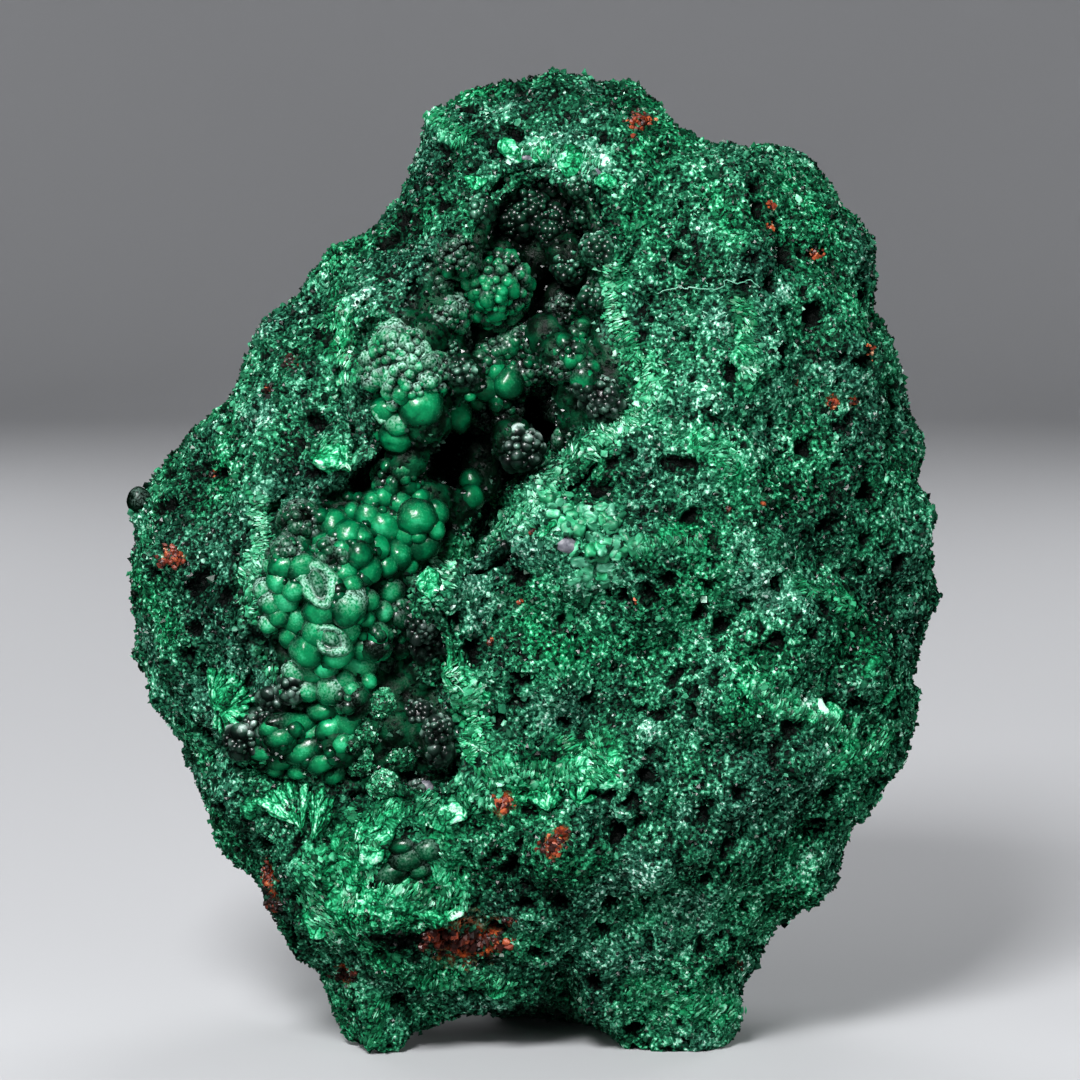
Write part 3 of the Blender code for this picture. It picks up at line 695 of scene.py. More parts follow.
def new_material(name, **values):
    """A material with one Principled shader, whose plain values are set on its own sockets."""
    material = bpy.data.materials.new(name)
    material.use_nodes = True
    shader = material.node_tree.nodes["Principled BSDF"]
    for socket, value in values.items():
        shader.inputs[socket.replace("_", " ")].default_value = value
    return material, material.node_tree, shader


def per(millimetres):
    """A pattern's scale on Object coordinates, for details of this size."""
    return 1 / (millimetres * MM)


CRUST_COOL = (
    (0.0, "#000302"), (0.2, "#03150e"), (0.4, "#0d3a2a"), (0.6, "#2a6650"),
    (0.76, "#5a9f84"), (0.9, "#9fd2bd"), (1.0, "#cfeae0"),
)  # fmt: skip
CRUST_WARM = (
    (0.0, "#000301"), (0.2, "#02180d"), (0.4, "#054428"), (0.6, "#0e7a49"),
    (0.76, "#32b47a"), (0.9, "#86ddb3"), (1.0, "#c4f2da"),
)  # fmt: skip
RUST = ((0.0, "#0e0403"), (0.3, "#33100a"), (0.55, "#7a2a12"), (0.8, "#b9582a"), (1.0, "#d2a27c"))
SMOOTH_GREEN = (
    (0.0, "#000200"), (0.2, "#001308"), (0.45, "#004126"), (0.7, "#037948"), (1.0, "#3cc68d"),
)  # fmt: skip
DRUSY_BLACK = (
    (0.0, "#000101"), (0.3, "#040908"), (0.55, "#18211f"), (0.8, "#65736f"), (1.0, "#c3d0cd"),
)  # fmt: skip
DRUSY_GREEN = (
    (0.0, "#000201"), (0.3, "#03120b"), (0.55, "#0b3a26"), (0.8, "#3b8667"), (1.0, "#b2e2cf"),
)  # fmt: skip


def toned_colour(tree, tone, hue):
    """Colour from a tone and a hue: one of two ramps of malachite, greyer or more vivid."""
    first = add(tree, "ValToRGB", {"Fac": tone}, stops=CRUST_COOL)
    second = add(tree, "ValToRGB", {"Fac": tone}, stops=CRUST_WARM)
    return add(tree, "Mix", {0: hue, 6: first, 7: second}, out=2, data_type="RGBA")


def crystal_material(name, roughness):
    """Malachite grown as small crystals: glassy grains, each of its own tone.

    The eye sees sparkle: near-black sides and gaps, green bodies and minty tips.
    """
    material, tree, shader = new_material(name, Roughness=roughness, IOR=1.7, Specular_IOR_Level=0.22)
    tone, hue = (add(tree, "Attribute", out="Fac", attribute_name=key) for key in ("tone", "hue"))
    tree.links.new(toned_colour(tree, tone, hue), shader.inputs["Base Color"])
    return material


def rust_material():
    """Iron oxide: earthy crumbs grown on malachite. The eye sees dull orange to dark red."""
    material, tree, shader = new_material("earthy_iron_oxide", Roughness=0.5, IOR=1.6)
    tone = add(tree, "Attribute", out="Fac", attribute_name="tone")
    ramp = add(tree, "ValToRGB", {"Fac": tone}, stops=RUST)
    tree.links.new(ramp, shader.inputs["Base Color"])
    return material


def grain_pattern(tree, place, tone, fine):
    """Grains in a net of ridges: the tone with the weights of a net, of grains and of a fine noise.

    A ridge is where a noise of 1.2 mm crosses its middle value. A grain is a cell of 0.75 mm, its
    edges shaken by 0.5 mm, high in its middle and with a tone of its own.
    """
    noise = {"Scale": per(1.2), "Detail": 2.5, "Roughness": 0.6, "Distortion": 0.5}
    net = add(tree, "TexNoise", {"Vector": place}, noise)
    net = add(tree, "Math", {0: net}, {1: 0.5}, operation="SUBTRACT")
    net = add(tree, "Math", {0: net}, operation="ABSOLUTE")
    net = add(tree, "MapRange", {"Value": net}, {"From Max": 0.13, "To Min": 1.0, "To Max": 0.0})
    shake = add(tree, "TexNoise", {"Vector": place}, {"Scale": per(0.5), "Detail": 2.0}, out="Color")
    stray = {1: (0.5 * MM, 0.5 * MM, 0.5 * MM)}
    loose = add(tree, "VectorMath", {0: shake, 2: place}, stray, operation="MULTIPLY_ADD")
    size = {"Scale": per(0.75)}
    grain = add(tree, "TexVoronoi", {"Vector": loose}, size, out="Distance")
    grain = add(tree, "MapRange", {"Value": grain}, {"From Max": 0.75, "To Min": 1.0, "To Max": 0.0})
    kind = add(tree, "TexVoronoi", {"Vector": loose}, size, out="Color")
    kind = add(tree, "SeparateColor", {"Color": kind}, out="Red")
    shade = add(tree, "Math", {0: tone}, {1: -0.7}, operation="ADD")
    # Painted shade: each grain is lighter in its middle and darker at its edges, in the gaps between
    # grains.
    for socket, weight in ((net, 0.34), (grain, 0.5), (kind, 0.22), (fine, 0.72)):
        shade = add(tree, "Math", {0: socket, 2: shade}, {1: weight}, operation="MULTIPLY_ADD")
    return shade


def silk_pattern(tree, place, tone, fine):
    """Silky blocks: the tone with the weights of the blocks, their fibres, a fine noise and cracks.

    A block is a cell of 2 mm, bent by 2.4 mm, with its own tone, a dark crack round it, and fibres
    of 0.3 mm, drawn out five times, that run its own way.
    """
    wave = add(tree, "TexNoise", {"Vector": place}, {"Scale": per(1.3), "Detail": 3.0}, out="Color")
    bend = {1: (2.4 * MM, 2.4 * MM, 2.4 * MM)}
    bent = add(tree, "VectorMath", {0: wave, 2: place}, bend, operation="MULTIPLY_ADD")
    size = {"Scale": per(2.0)}
    own = add(tree, "TexVoronoi", {"Vector": bent}, size, out="Color")
    own = add(tree, "SeparateColor", {"Color": own}, out="Red")
    edge = add(tree, "TexVoronoi", {"Vector": bent}, size, out="Distance", feature="DISTANCE_TO_EDGE")
    crack = add(tree, "MapRange", {"Value": edge}, {"From Max": 0.16, "To Min": 1.0, "To Max": 0.0})
    angle = add(tree, "Math", {0: own}, {1: 2 * math.pi}, operation="MULTIPLY")
    own_way = add(tree, "VectorRotate", {"Vector": place, "Angle": angle}, rotation_type="Y_AXIS")
    drawn = add(tree, "Mapping", {"Vector": own_way}, {"Scale": (1.0, 1.0, 0.2)})
    fibre = add(tree, "TexNoise", {"Vector": drawn}, {"Scale": per(0.3), "Detail": 2.0})
    shade = add(tree, "Math", {0: tone}, {1: -0.78}, operation="ADD")
    for socket, weight in ((own, 0.3), (fibre, 0.85), (fine, 0.5), (crack, -0.34)):
        shade = add(tree, "Math", {0: socket, 2: shade}, {1: weight}, operation="MULTIPLY_ADD")
    return shade


def crust_pattern(tree, place):
    """Colour and height of the crust: grains, and silky blocks where it is broken.

    The height is the tone before it is coloured, so what is pale stands proud, and the dark gaps
    that lie low are painted shade.
    """
    tone, hue, silk = (
        add(tree, "Attribute", out="Fac", attribute_name=key) for key in ("tone", "hue", "silk")
    )
    fine = add(tree, "TexNoise", {"Vector": place}, {"Scale": per(0.45), "Detail": 2.0})
    grainy = grain_pattern(tree, place, tone, fine)
    silky = silk_pattern(tree, place, tone, fine)
    shade = add(tree, "Mix", {0: silk, 2: grainy, 3: silky})
    return toned_colour(tree, shade, hue), shade


def crust_material():
    """Granular malachite between the larger grains: fine crystals etched by weather.

    The eye sees a net of minty ridges with black gaps, in patches of dark and pale green, silky
    blocks along the breaks, and rusty stains of iron oxide.
    """
    name = "granular_crust_malachite"
    material, tree, shader = new_material(name, Roughness=0.6, IOR=1.7, Specular_IOR_Level=0.04)
    place = add(tree, "TexCoord", out="Object")
    colour, height = crust_pattern(tree, place)
    cloud = add(tree, "TexNoise", {"Vector": place}, {"Scale": per(1.1), "Detail": 4.0})
    stain = add(tree, "ValToRGB", {"Fac": cloud}, stops=RUST)
    rust = add(tree, "Attribute", out="Fac", attribute_name="rust")
    cover = add(tree, "Math", {0: rust, 1: cloud}, operation="MULTIPLY")
    cover = add(tree, "MapRange", {"Value": cover}, {"From Min": 0.2, "From Max": 0.45})
    both = add(tree, "Mix", {0: cover, 6: colour, 7: stain}, out=2, data_type="RGBA")
    tree.links.new(both, shader.inputs["Base Color"])
    bump = add(tree, "Bump", {"Height": height}, {"Distance": 0.3 * MM, "Strength": 0.9})
    tree.links.new(bump, shader.inputs["Normal"])
    return material


def druse_material():
    """A druse on small bubbles, dulled by black oxide. The eye sees black with a silver sheen, partly
    painted into its tone.
    """
    name = "drusy_dark_malachite"
    material, tree, shader = new_material(name, Roughness=0.3, IOR=1.7, Specular_IOR_Level=0.24)
    tone, hue = (add(tree, "Attribute", out="Fac", attribute_name=key) for key in ("tone", "hue"))
    first = add(tree, "ValToRGB", {"Fac": tone}, stops=DRUSY_BLACK)
    second = add(tree, "ValToRGB", {"Fac": tone}, stops=DRUSY_GREEN)
    both = add(tree, "Mix", {0: hue, 6: first, 7: second}, out=2, data_type="RGBA")
    tree.links.new(both, shader.inputs["Base Color"])
    return material


def botryoidal_colour(tree, place, dust_and_highlight_colour):
    """Colour, dust and height of rounded malachite: clouds of 1.6 mm, grit and dust of 0.35 mm."""
    tone, dust_and_highlight = (add(tree, "Attribute", out="Fac", attribute_name=key) for key in ("tone", "dust_and_highlight"))
    cloud = add(tree, "TexNoise", {"Vector": place}, {"Scale": per(1.6), "Detail": 3.0})
    grit = add(tree, "TexNoise", {"Vector": place}, {"Scale": per(0.35), "Detail": 2.0})
    shade = add(tree, "Math", {0: tone}, {1: -0.39}, operation="ADD")
    for socket, weight in ((cloud, 0.55), (grit, 0.2)):
        shade = add(tree, "Math", {0: socket, 2: shade}, {1: weight}, operation="MULTIPLY_ADD")
    green = add(tree, "ValToRGB", {"Fac": shade}, stops=SMOOTH_GREEN)
    speck = add(tree, "MapRange", {"Value": grit}, {"From Min": 0.4, "From Max": 0.65})
    cover = add(tree, "Math", {0: dust_and_highlight, 1: speck}, operation="MULTIPLY", use_clamp=True)
    colour = add(tree, "Mix", {0: cover, 6: green}, {7: linear(dust_and_highlight_colour)}, out=2, data_type="RGBA")
    return colour, cover, grit


def smooth_lump_material(roughness):
    """Malachite grown in rounded lumps from closely packed fibres: silky, some lumps dusted.

    The eye sees deep saturated green, a soft highlight on each lump, near-black creases, and a
    minty dust of fine crystals on the lumps that caught it.
    """
    name = "smooth_botryoidal_malachite"
    material, tree, shader = new_material(name, IOR=1.75, Specular_IOR_Level=0.2)
    place = add(tree, "TexCoord", out="Object")
    colour, cover, grit = botryoidal_colour(tree, place, "#a3d3c0")
    tree.links.new(colour, shader.inputs["Base Color"])
    dull = add(tree, "Math", {0: grit, 2: cover}, {1: 0.1}, operation="MULTIPLY_ADD")
    dull = add(tree, "Math", {0: dull}, {1: roughness}, operation="ADD")
    tree.links.new(dull, shader.inputs["Roughness"])
    bump = add(tree, "Bump", {"Height": grit}, {"Distance": 0.08 * MM, "Strength": 0.45})
    tree.links.new(bump, shader.inputs["Normal"])
    return material


def hollow_wall_material():
    """The hollow's wall: fine rounded malachite, and the stone's own crust along the rim.

    The eye sees small dark green domes in black creases, under a rim as rough as the outside.
    The black creases and the darker depth are painted shade in the wall's tone.
    """
    name = "hollow_wall_malachite"
    material, tree, shader = new_material(name, Roughness=0.5, IOR=1.7, Specular_IOR_Level=0.08)
    place = add(tree, "TexCoord", out="Object")
    wall, _, grit = botryoidal_colour(tree, place, "#7fa898")
    crust, height = crust_pattern(tree, place)
    rim = add(tree, "Attribute", out="Fac", attribute_name="rim")
    both = add(tree, "Mix", {0: rim, 6: wall, 7: crust}, out=2, data_type="RGBA")
    tree.links.new(both, shader.inputs["Base Color"])
    rise = add(tree, "Mix", {0: rim, 2: grit, 3: height})
    bump = add(tree, "Bump", {"Height": rise}, {"Distance": 0.2 * MM, "Strength": 0.8})
    tree.links.new(bump, shader.inputs["Normal"])
    return material


def pebble_material():
    """A worn grain of grey quartz. The eye sees a matt violet grey with faint darker clouds."""
    material, tree, shader = new_material("worn_grey_quartz", Roughness=0.45, IOR=1.55)
    place = add(tree, "TexCoord", out="Object")
    cloud = add(tree, "TexNoise", {"Vector": place}, {"Scale": per(0.9), "Detail": 4.0})
    stops = ((0.3, "#4a4b55"), (0.55, "#6f7079"), (0.75, "#9c9ca2"))
    ramp = add(tree, "ValToRGB", {"Fac": cloud}, stops=stops)
    tree.links.new(ramp, shader.inputs["Base Color"])
    return material


# ---- Settings -------------------------------------------------------------------------------
class StoneSettings(PropertyGroup):
    """Sizes of the crust and of its grains."""

    relief: FloatProperty(
        name="Relief",
        description="Height of the lumps of the crust, over the plain stone",
        default=0.0009,
        unit="LENGTH",
    )
    grain: FloatProperty(
        name="Grain",
        description="Half the width of a crystal grain on the face",
        default=0.0003,
        unit="LENGTH",
    )
    blunt_grains: IntProperty(
        name="Blunt grains",
        description="Blunt grains on the face and the sides",
        default=8000,
    )
    sharp_grains: IntProperty(
        name="Sharp grains",
        description="Sharp grains on the face and the sides",
        default=44500,
    )
    back_grains: IntProperty(name="Back grains", description="Grains on the back", default=10000)


class HollowSettings(PropertyGroup):
    """Finish of the hollow's lumps."""

    lump_roughness: FloatProperty(
        name="Lump roughness",
        description="How dull the smooth lumps are",
        default=0.2,
        subtype="FACTOR",
    )
    wall_relief: FloatProperty(
        name="Wall relief",
        description="Height of the small domes all over the hollow's wall",
        default=0.0008,
        unit="LENGTH",
    )


class StageSettings(PropertyGroup):
    """Floor, backdrop and light."""

    floor_colour: FloatVectorProperty(
        name="Floor colour",
        description="Colour of the floor and the backdrop",
        default=linear("#b9babd")[:3],
        subtype="COLOR",
    )
    key_power: FloatProperty(
        name="Key light", description="Power of the main light", default=8.6, unit="POWER"
    )
    fill_power: FloatProperty(
        name="Fill light", description="Power of each side light", default=1.6, unit="POWER"
    )


# ---- The crust ------------------------------------------------------------------------------
def crust_relief(points, silk):
    """Height of the crust and the share of pore at each point.

    The height is domes of 4.2 and 1.9 mm and swells of 2.5 mm, less the pores, 1 to 3 mm wide. The
    breaks have no pores, and stand a little proud.
    """
    bent = strayed(points, 1.1, 1.8, 90)
    near, _ = cells(bent, 4.2, 11)
    fine, _ = cells(bent, 1.9, 13)
    height = 0.75 - near * 1.3 + 0.5 * (0.6 - fine) + 0.45 * swell(points, 2.5, 5)
    near, tag = cells(bent, 4.6, 23)
    pore = smooth_step(-near, -0.4, -0.16) * (tag > 0.45)
    near, tag = cells(bent, 2.3, 29)
    pore = np.maximum(pore, 0.8 * smooth_step(-near, -0.42, -0.16) * (tag > 0.6)) * (1 - silk)
    return height - 1.9 * pore + 0.3 * silk, pore


def crust_tone(points, height, silk):
    """Tone and hue of the crust, 0 to 1: height, slow and quick noise, the zones and the breaks."""
    vivid = zone_share(points, VIVID_ZONES)
    pale = zone_share(points, PALE_ZONES)
    dark = zone_share(points, DARK_ZONES)
    # Painted shade: through the height, the low parts and the pores are darker and the proud parts
    # lighter.
    tone = 0.44 + 0.1 * height + 0.06 * swell(points, 16, 31) + 0.1 * swell(points, 6, 37)
    tone = tone + 0.1 * swell(points, 2.2, 41) + 0.36 * pale + 0.2 * vivid - 0.45 * dark
    tone = tone + silk * (0.11 + 0.16 * swell(points, 3.2, 49)) - 0.03
    hue = 0.42 + 0.5 * swell(points, 8, 43) + 0.2 * swell(points, 2.5, 47) + 1.0 * vivid - 0.8 * pale
    return tone, np.clip(hue + 0.25 * silk, 0, 1)


def silk_share(points):
    """How silky and blocky the crust is: 1 along the breaks, with an uneven edge."""
    rows = [(1.25 * half, 1.6, *line) for half, _, _, _, *line in FIBRE_BANDS]
    share = zone_share(points, rows) + 0.5 * zone_share(points, VIVID_ZONES)
    return smooth_step(share + 0.35 * swell(points, 2.5, 141), 0.35, 0.8)


def rust_share(points):
    """How rusty the crust is, from the rusty spots of the face and of the back."""
    rows = [(1.2 * max(wide, high), 0.9, (x, y)) for x, y, wide, high, _, _ in RUST_SPOTS if wide > 4]
    share = zone_share(points, rows)
    for x, z, radius in BACK_RUST:
        away = (points[:, 0] - x) ** 2 + (points[:, 2] - z) ** 2
        share += np.exp(-away / radius**2) * (points[:, 1] > 5)
    return np.clip(share, 0, 1)


class MakeCrust(Operator):
    """Makes the stone's crust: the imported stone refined, with lumps and pores raised on it"""

    bl_idname = "malachite.crust"
    bl_label = "Crust"

    def execute(self, context):
        look = context.scene.malachite_stone
        points, faces, normals = refined("granular_malachite", STONE_SQUARE)
        silk = silk_share(points)
        height, pore = crust_relief(points, silk)
        tone, hue = crust_tone(points, height, silk)
        # Painted shade: the tone is lowered further in the pores.
        values = {
            "tone": tone - 0.03 - 0.6 * pore,
            "hue": hue,
            "silk": silk,
            "height": height,
            "pore": pore,
            "rust": rust_share(points),
        }
        points = points + normals * (height * look.relief / MM)[:, None]
        shape = (points, faces, values)
        made = make_piece("stone_crust", shape, crust_material())
        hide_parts("granular_malachite")
        return {"FINISHED"}


class MakeLining(Operator):
    """Makes the hollow's wall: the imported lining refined, with small domes raised all over it"""

    bl_idname = "malachite.lining"
    bl_label = "Lining"

    def execute(self, context):
        look = context.scene.malachite_hollow
        points, faces, normals = refined("botryoidal_lining", LINING_SQUARE)
        inside = depth_in_hollow(points) + 6 * swell(points, 2.5, 131)
        rim = 1 - smooth_step(inside, 8, 17)
        dome = wall_domes(points)
        silk = silk_share(points)
        rough, pore = crust_relief(points, silk)
        rise = (1 - rim) * (dome - 0.5) * look.wall_relief / MM + rim * (0.6 * rough - 0.2)
        # Painted shade: the wall's tone is black in the creases between domes and darker in the hollow's
        # depth.
        depth_shade = smooth_step(points[:, 1], HOLLOW_FRONT - 2, HOLLOW_DEPTH - 2)
        tone, hue = crust_tone(points, rough, silk)
        wall = (0.02 + 0.44 * dome**1.8) * (1 - 0.9 * depth_shade)
        values = {
            "tone": rim * (tone - 0.08) + (1 - rim) * wall,
            "hue": hue,
            "silk": silk,
            "rim": rim,
            "height": rough,
            "pore": pore,
            "dust_and_highlight": np.zeros(len(points)),
        }
        shape = (points + normals * rise[:, None], faces, values)
        made = make_piece("hollow_lining", shape, hollow_wall_material())
        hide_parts("botryoidal_lining")
        return {"FINISHED"}


def wall_domes(points):
    """Round domes, 0 in the creases and 1 on top: sqrt(1 - (distance / reach)^2), two sizes."""
    total = 0
    for size, share, salt in ((2.4, 0.6, 61), (1.3, 0.4, 67)):
        near, _ = cells(points, size, salt)
        total = total + share * np.sqrt(1 - np.clip(near / 0.85, 0, 1) ** 2)
    return total


class MakeGrains(Operator):
    """Strews the crust with crystal grains, toned by their place, fine on the face"""

    bl_idname = "malachite.grains"
    bl_label = "Grains"

    def execute(self, context):
        look = context.scene.malachite_stone
        rng = np.random.default_rng(SEED)
        points, normals, faces, kept, share = grain_ground()
        middle = points[faces].mean(1)
        facing, hole, silk = (kept[key][faces].mean(1) for key in ("height", "pore", "silk"))
        front = 1 - smooth_step(middle[:, 1], FACE_END, BACK_START)
        thick = np.clip(0.8 + 0.5 * facing, 0.1, 1.6) * (1 - hole) ** 2 * share
        thick = thick * (middle[:, 2] > 0.9) * (1 - 0.8 * silk)
        material = crystal_material("crystal_crust_malachite", 0.36)
        size = look.grain / MM
        kinds = (
            ("blunt_grains", block(), look.blunt_grains, thick * front, size * 1.15, 1),
            ("sharp_grains", ball(3, 1), look.sharp_grains, thick * front, size, 2),
            ("back_grains", ball(3, 1), look.back_grains, thick * (1 - front), size * 2.0, 1),
        )
        for kind, shape, count, weight, half, shares in kinds:
            at, normal, chosen = sown(points, normals, faces, weight, count, rng)
            tone, hue = crust_tone(at, facing[chosen], silk[chosen])
            tone = tone + 0.16 * rng.normal(size=count) + 0.12 * swell(at, 0.9, 45) - 0.05
            # Painted glints: a few grains are made pale at random.
            tone += (rng.uniform(size=count) < 0.06) * rng.uniform(0.1, 0.28, count)
            scale = half * rng.lognormal(0, 0.18, (count, 1)) * rng.uniform(0.6, 1.35, (count, 3))
            frames = stray_frames(normal, 1.5, rng)
            centre = at + normal * (scale.mean(1) * rng.uniform(-0.2, 0.75, count))[:, None]
            order = np.argsort(centre[:, 2])
            for number, part in enumerate(np.array_split(order, shares)):
                placed, copies = strewn(shape, centre[part], frames[part], scale[part], 0.32, rng)
                lift = rng.normal(0, 0.08, (len(part), len(shape[0])))
                sway = rng.normal(0, 0.05, (len(part), len(shape[0])))
                values = painted(tone[part, None] + lift, hue[part, None] + sway, 0.01)
                name = f"{kind}_{number + 1}" if shares > 1 else kind
                grains = (placed, copies, values)
                make_piece(name, grains, material, toned=True, smooth=False)
        return {"FINISHED"}


def carriers():
    """The two pieces that carry all the others: the crust and the lining."""
    return bpy.data.objects["stone_crust"], bpy.data.objects["hollow_lining"]


def grain_ground():
    """The crust and the crusted rim of the lining as one surface, with what they keep and shares.

    The share is 1 where grains grow, and 0 behind the lining and on its bare wall.
    """
    crust, lining = carriers()
    found = [(*mesh_arrays(made.data), mesh_normals(made.data)) for made in (crust, lining)]
    shares = [hidden_free(found[0], lining), mesh_values(lining.data, "rim")[found[1][1]].mean(1)]
    points = np.concatenate([found[0][0], found[1][0]])
    faces = np.concatenate([found[0][1], found[1][1] + len(found[0][0])])
    normals = np.concatenate([found[0][2], found[1][2]])
    kept = {
        name: np.concatenate([mesh_values(made.data, name) for made in (crust, lining)])
        for name in ("height", "pore", "silk")
    }
    return points, normals, faces, kept, np.concatenate(shares)


def hidden_free(surface, cover):
    """1 for a square whose way out is free, 0 where the cover stands close before it."""
    points, faces, normals = surface
    middle, out = points[faces].mean(1), unit(normals[faces].mean(1))
    around = mesh_arrays(cover.data)[0]
    near = ((middle > around.min(0) - 1) & (middle < around.max(0) + 1)).all(1)
    tree = skin(cover)
    found = np.ones(len(middle))
    for index in np.flatnonzero(near):
        start = Vector(middle[index] + out[index] * 0.05)
        if tree.ray_cast(start, Vector(out[index]), 4.0)[0] is not None:
            found[index] = 0.0
    return found


# ---- The hollow's lumps ---------------------------------------------------------------------
def near_share(points):
    """1 for a point at the front of the hollow, falling to 0 in its depth."""
    # Tones of the lumps, lobes and wall crystals are scaled by it, as painted shade in the depth.
    return 1 - smooth_step(points[:, 1], HOLLOW_FRONT, HOLLOW_DEPTH)


def swollen(centres, frames, sizes, shape, tone, dust_and_highlight, rng):
    """Balls with a slight wobble. Tone rises from the foot of each to its tip, as painted shade, and dust
    to the top.
    """
    points, faces = strewn(shape, centres, frames, sizes, 0.0, rng)
    middle = np.repeat(centres, len(shape[0]), 0)
    points = middle + (points - middle) * (1 + 0.09 * swell(points, 1.2, 71)[:, None])
    out = unit(points - middle)
    near = near_share(middle)
    raised = (out * np.repeat(frames[:, :, 2], len(shape[0]), 0)).sum(1)
    # Painted shade: darker at each ball's foot, lighter at its tip, and darker in the hollow's depth,
    # where the dust fades too.
    tone = np.repeat(tone, len(shape[0])) * (0.2 + 0.8 * near) + 0.64 * raised - 0.56
    dust_and_highlight = np.repeat(dust_and_highlight, len(shape[0])) * np.clip(0.45 + 0.9 * out[:, 2], 0, 1) * near
    dust_and_highlight = dust_and_highlight * np.clip(0.6 + 1.2 * swell(points, 2.2, 73), 0, 1)
    return points, faces, {"tone": np.clip(tone, 0, 1), "dust_and_highlight": np.clip(dust_and_highlight, 0, 1)}


def lumps(tree, rng, rows, tone, dust_and_highlight, grow):
    """Balls set where the lines of sight meet the wall, half sunk, some longer along their turn."""
    at, normal, radius, stretch, turn = set_down(rows, tree)
    radius = radius * UNIT * grow
    axes = unit(normal - 1.2 * FORWARD)
    along = turned_on(axes, np.radians(turn)[:, None])
    sizes = np.stack([radius * stretch, radius, radius], 1) * rng.uniform(0.94, 1.06, (len(at), 3))
    centres = at - axes * (radius * 0.34)[:, None]
    tones = tone + rng.normal(0, 0.06, len(at))
    dusts = np.full(len(at), dust_and_highlight)
    return swollen(centres, long_frames(along, axes), sizes, ball(22, 12), tones, dusts, rng)


def lobe_places(rows, tree, sunk):
    """Centres, axes and sizes of lobes that stand on the wall, sunk by a share of the radius."""
    at, normal, radius, small, tone, dust_and_highlight = set_down(rows, tree)
    axes = unit(normal * 0.6 - FORWARD)
    centres = at - axes * (radius * UNIT * sunk)[:, None]
    return zip(centres, axes, radius * UNIT, small * UNIT, tone, dust_and_highlight)


def spiral(count, reach, axis, rng, stray):
    """Directions over a cap: for step k of n the height along the axis is 1 - reach k / n, and the
    turn is k times the golden angle. Each strays a little.
    """
    height = 1 - reach * (np.arange(count) + 0.5) / count
    turn = np.arange(count) * GOLDEN_ANGLE
    round_it = np.sqrt(np.clip(1 - height**2, 0, 1))
    local = np.stack([round_it * np.cos(turn), round_it * np.sin(turn), height], 1)
    local = unit(local + rng.normal(0, stray, local.shape))
    return local @ upright_frames(axis[None], rng)[0].T


def grown_lobes(rows, tree, rng):
    """Lobes grown over with small bubbles of many sizes, which stand in a spiral on a lumpy ball.

    Their number is 3.6 times the square of the lobe's radius over a bubble's.
    """
    parts = []
    for centre, axis, reach, bead, tone, dust_and_highlight in lobe_places(rows, tree, 0.5):
        count = int(3.6 * (reach / bead) ** 2)
        way = spiral(count, 1.35, axis, rng, 0.09)
        lumpy = 0.94 + 0.2 * swell(centre + way * reach, 0.55 * reach, 79)
        sizes = bead * np.clip(rng.lognormal(0.08, 0.32, (count, 1)), 0.5, 2.0)
        spots = centre + way * (reach * lumpy - 0.4 * sizes[:, 0])[:, None]
        sizes = sizes * rng.uniform(0.9, 1.1, (count, 3))
        tones = tone + rng.normal(0, 0.06, count)
        shape = ball(8, 4) if bead > 0.75 else ball(7, 3)
        frames = upright_frames(way, rng)
        parts.append(swollen(spots, frames, sizes, shape, tones, np.full(count, dust_and_highlight), rng))
        # Painted shade: the core is toned darker than its bubbles, to darken the gaps between them.
        core = np.full((1, 3), reach * 0.84)
        frames, cores = upright_frames(axis[None], rng), np.array([tone - 0.35])
        parts.append(swollen(centre[None], frames, core, ball(24, 12), cores, np.zeros(1), rng))
    return gathered(parts)


def silvered(shape, rng):
    """Bubbles dulled by black oxide: the tone pale in spots on the dusted tops, as painted silver
    highlights, the hue greener higher up.
    """
    points, faces, values = shape
    glint = np.clip(rng.normal(0.5, 0.3, len(points)), 0, 1)
    # Painted silver highlights: random pale spots where the dust lies on the tops.
    tone = 0.1 + 0.95 * values["tone"] + 0.8 * values["dust_and_highlight"] * glint
    hue = 0.25 + 0.6 * smooth_step(points[:, 2], 100, 110) + rng.normal(0, 0.15, len(points))
    return points, faces, painted(tone, hue, 0.01)


